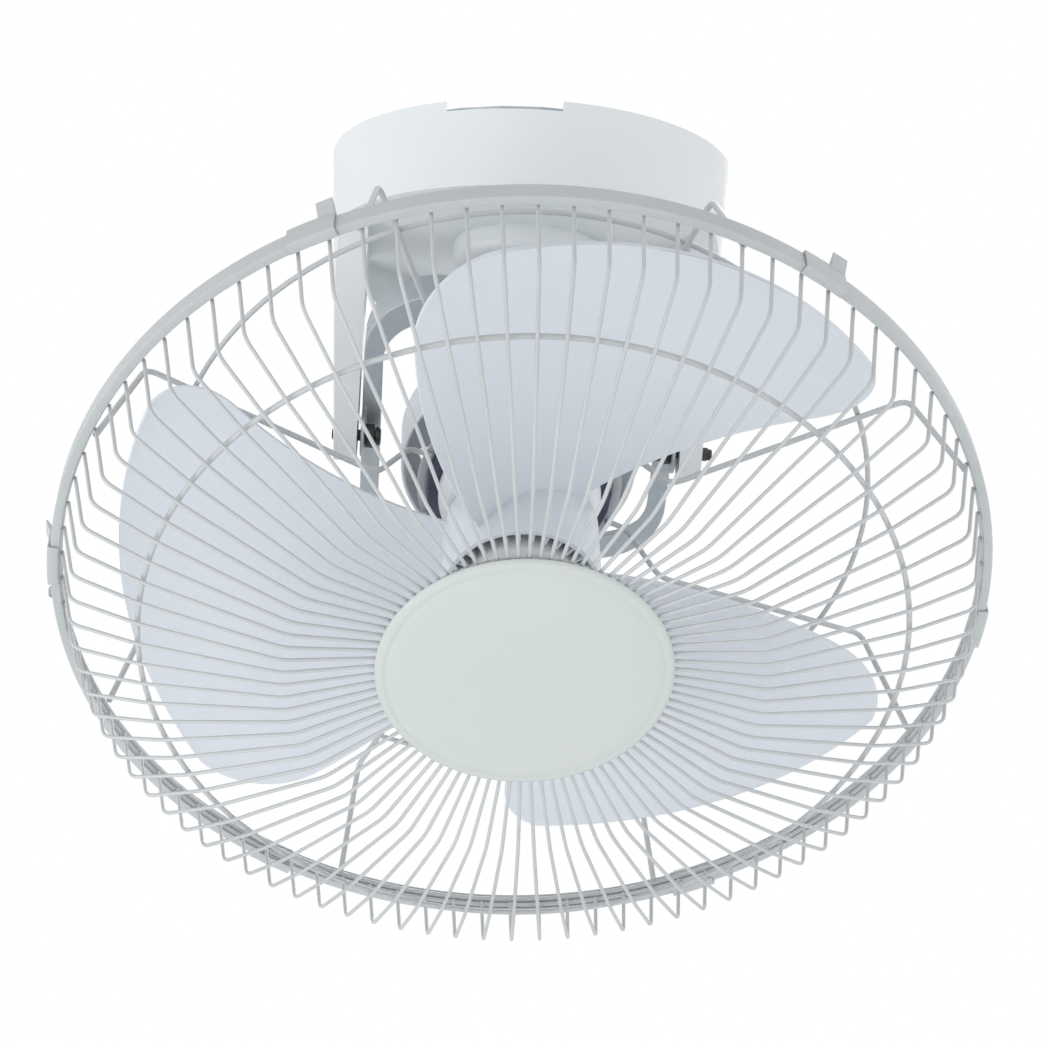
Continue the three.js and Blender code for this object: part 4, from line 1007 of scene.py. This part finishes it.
def make_pivot_screws():
    """Screw heads inside; outside, the right leg has a nut and the left a low rounded end."""
    for name, side, end in (("left", 180, 98.2), ("right", 0, 102.8)):
        screw = turned([(0, 72.4), (4, 72.4), (5, 73.2), (5, 75.4), (3, 75.4), (3, end - 0.6),
                        (2.4, end), (0, end)], 32)
        if name == "right":
            screw = together(screw, cone(NUT_RADIUS, NUT_RADIUS, 97.8, 100.6, 6))
        moved(screw, LYING_X, turn("Z", side), shift(0, 0, PIVOT_Z))
        piece(f"pivot_screw_{name}_black", screw, CANOPY, "canopy", "black_oxide_steel",
              [f"pivot_screw_{name}"], bevel=0.25)


def make_orbit_seat():
    """The stud through the cup's floor, whose wide foot stands over the crank ball."""
    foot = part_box("orbit_seat")[0].z * 1000
    under, flange = CUP_BOTTOM - SEAT_GAP, CUP_BOTTOM + CANOPY_WALL + SEAT_GAP
    seat = turned(filleted([
        (0, foot + 0.6), (9, foot), (9, foot + 3), (6, foot + 6), (6, under),
        (4.7, under), (4.7, flange), (10, flange), (10, flange + 3), (0, flange + 3),
    ], 0.5, 3), 48)
    piece("orbit_seat_stud", seat, CANOPY, "canopy", "dark_nylon", ["orbit_seat"])


# ---------------------------------------------------------------- the frame's own nodes


def dress_frame_nodes():
    """Gives every node of the frame its finish; most are then covered by finer pieces."""
    slots = {part["node"]: part["material_slot"] for part in frame["record"]["subparts"]}
    for name, node in frame["nodes"].items():
        node.data.materials.clear()
        node.data.materials.append(finishes[slots[name]])


# ---------------------------------------------------------------- camera, lamps and backdrop

CAMERA_PLACE = (-0.0442, -1.3146, -0.4316)
CAMERA_RIGHT = Vector((0.99787, -0.04485, 0.04736))
CAMERA_FORWARD = Vector((0.03572, 0.98345, 0.17762)).normalized()
CAMERA_LENS = 87.86
CAMERA_SENSOR = 36
WORLD_LIGHT = 0.70
WORLD_COLOUR = (0.97, 0.985, 1, 1)
FLOOR_Z = -1.1
FLOOR_REACH = 12                # metres from its middle to each side


def make_camera():
    """The photograph's view: from below and a little left, rolled by under three degrees."""
    data = bpy.data.cameras.new("camera")
    data.lens = CAMERA_LENS
    data.sensor_width = CAMERA_SENSOR
    camera = bpy.data.objects.new("camera", data)
    bpy.context.scene.collection.objects.link(camera)
    up = CAMERA_RIGHT.cross(CAMERA_FORWARD).normalized()
    facing = Matrix((CAMERA_RIGHT, up, -CAMERA_FORWARD)).transposed()
    camera.matrix_world = Matrix.Translation(CAMERA_PLACE) @ facing.to_4x4()
    bpy.context.scene.camera = camera


def make_lamp(name, place, target, size, watts):
    data = bpy.data.lights.new(name, "AREA")
    data.shape = "DISK"
    data.size = size
    data.energy = watts
    lamp = bpy.data.objects.new(name, data)
    lamp.location = place
    lamp.rotation_euler = (Vector(target) - Vector(place)).to_track_quat("-Z", "Y").to_euler()
    bpy.context.scene.collection.objects.link(lamp)


def make_world():
    """Even studio light, with plain white behind the object and in its reflections."""
    world = bpy.data.worlds.new("studio")
    bpy.context.scene.world = world
    world.use_nodes = True
    tree = world.node_tree
    tree.nodes.clear()
    path = tree.nodes.new("ShaderNodeLightPath")
    output = tree.nodes.new("ShaderNodeOutputWorld")
    mix = tree.nodes.new("ShaderNodeMixShader")
    soft = tree.nodes.new("ShaderNodeBackground")
    soft.inputs["Color"].default_value = WORLD_COLOUR
    soft.inputs["Strength"].default_value = WORLD_LIGHT
    plain = tree.nodes.new("ShaderNodeBackground")
    plain.inputs["Color"].default_value = (1, 1, 1, 1)
    plain.inputs["Strength"].default_value = 1.0
    seen = path.outputs["Is Camera Ray"]
    for ray in ("Is Glossy Ray", "Is Transmission Ray"):
        either = tree.nodes.new("ShaderNodeMath")
        either.operation = "MAXIMUM"
        tree.links.new(seen, either.inputs[0])
        tree.links.new(path.outputs[ray], either.inputs[1])
        seen = either.outputs["Value"]
    tree.links.new(seen, mix.inputs["Fac"])
    tree.links.new(soft.outputs["Background"], mix.inputs[1])
    tree.links.new(plain.outputs["Background"], mix.inputs[2])
    tree.links.new(mix.outputs["Shader"], output.inputs["Surface"])


def make_floor():
    """A pale floor well below the fan, which takes its shadow."""
    shape = bmesh.new()
    bmesh.ops.create_grid(shape, x_segments=2, y_segments=2, size=FLOOR_REACH)
    bmesh.ops.translate(shape, verts=shape.verts, vec=(0, 0, FLOOR_Z))
    mesh = bpy.data.meshes.new("floor")
    shape.to_mesh(mesh)
    shape.free()
    floor = bpy.data.objects.new("floor", mesh)
    bpy.context.scene.collection.objects.link(floor)
    finish = Finish("pale floor", srgb(250, 250, 250), 0.7)
    finish.tint(finish.noise(2, 2), srgb(246, 247, 248), 1.0)
    mesh.materials.append(finish.material)


# ---------------------------------------------------------------- the whole fan

dress_frame_nodes()
make_front_guard()
make_rear_guard()
make_band()
for clip_number in range(1, CLIPS + 1):
    make_clip(clip_number)
make_band_screw()
make_fan_blades()
make_spinner()
make_emblem()
make_motor_front_cover()
make_hub_plate()
make_motor_rear_cover()
make_gearbox()
make_gimbal_ring()
make_gimbal_fittings()
make_crank()
make_canopy()
make_hanger_fork()
make_pivot_screws()
make_orbit_seat()

make_camera()
make_lamp("key", (-1.2, -1.9, 1.0), (0, 0, -0.2), 1.4, 5)
make_lamp("fill", (1.6, -1.6, -0.5), (0, 0, -0.2), 1.6, 3.5)
make_lamp("low", (-0.3, -0.8, -1.05), (0, 0, -0.1), 1.6, 4)
make_lamp("left side", (-1.3, -0.6, -0.7), (0, 0, -0.15), 1.2, 7)
make_lamp("right side", (1.5, -0.4, -0.5), (0, 0, -0.15), 1.2, 4)
make_lamp("back", (0.4, 1.8, 0.9), (0, 0, -0.2), 1.2, 12)
make_world()
make_floor()
bpy.context.scene.view_settings.view_transform = "Standard"
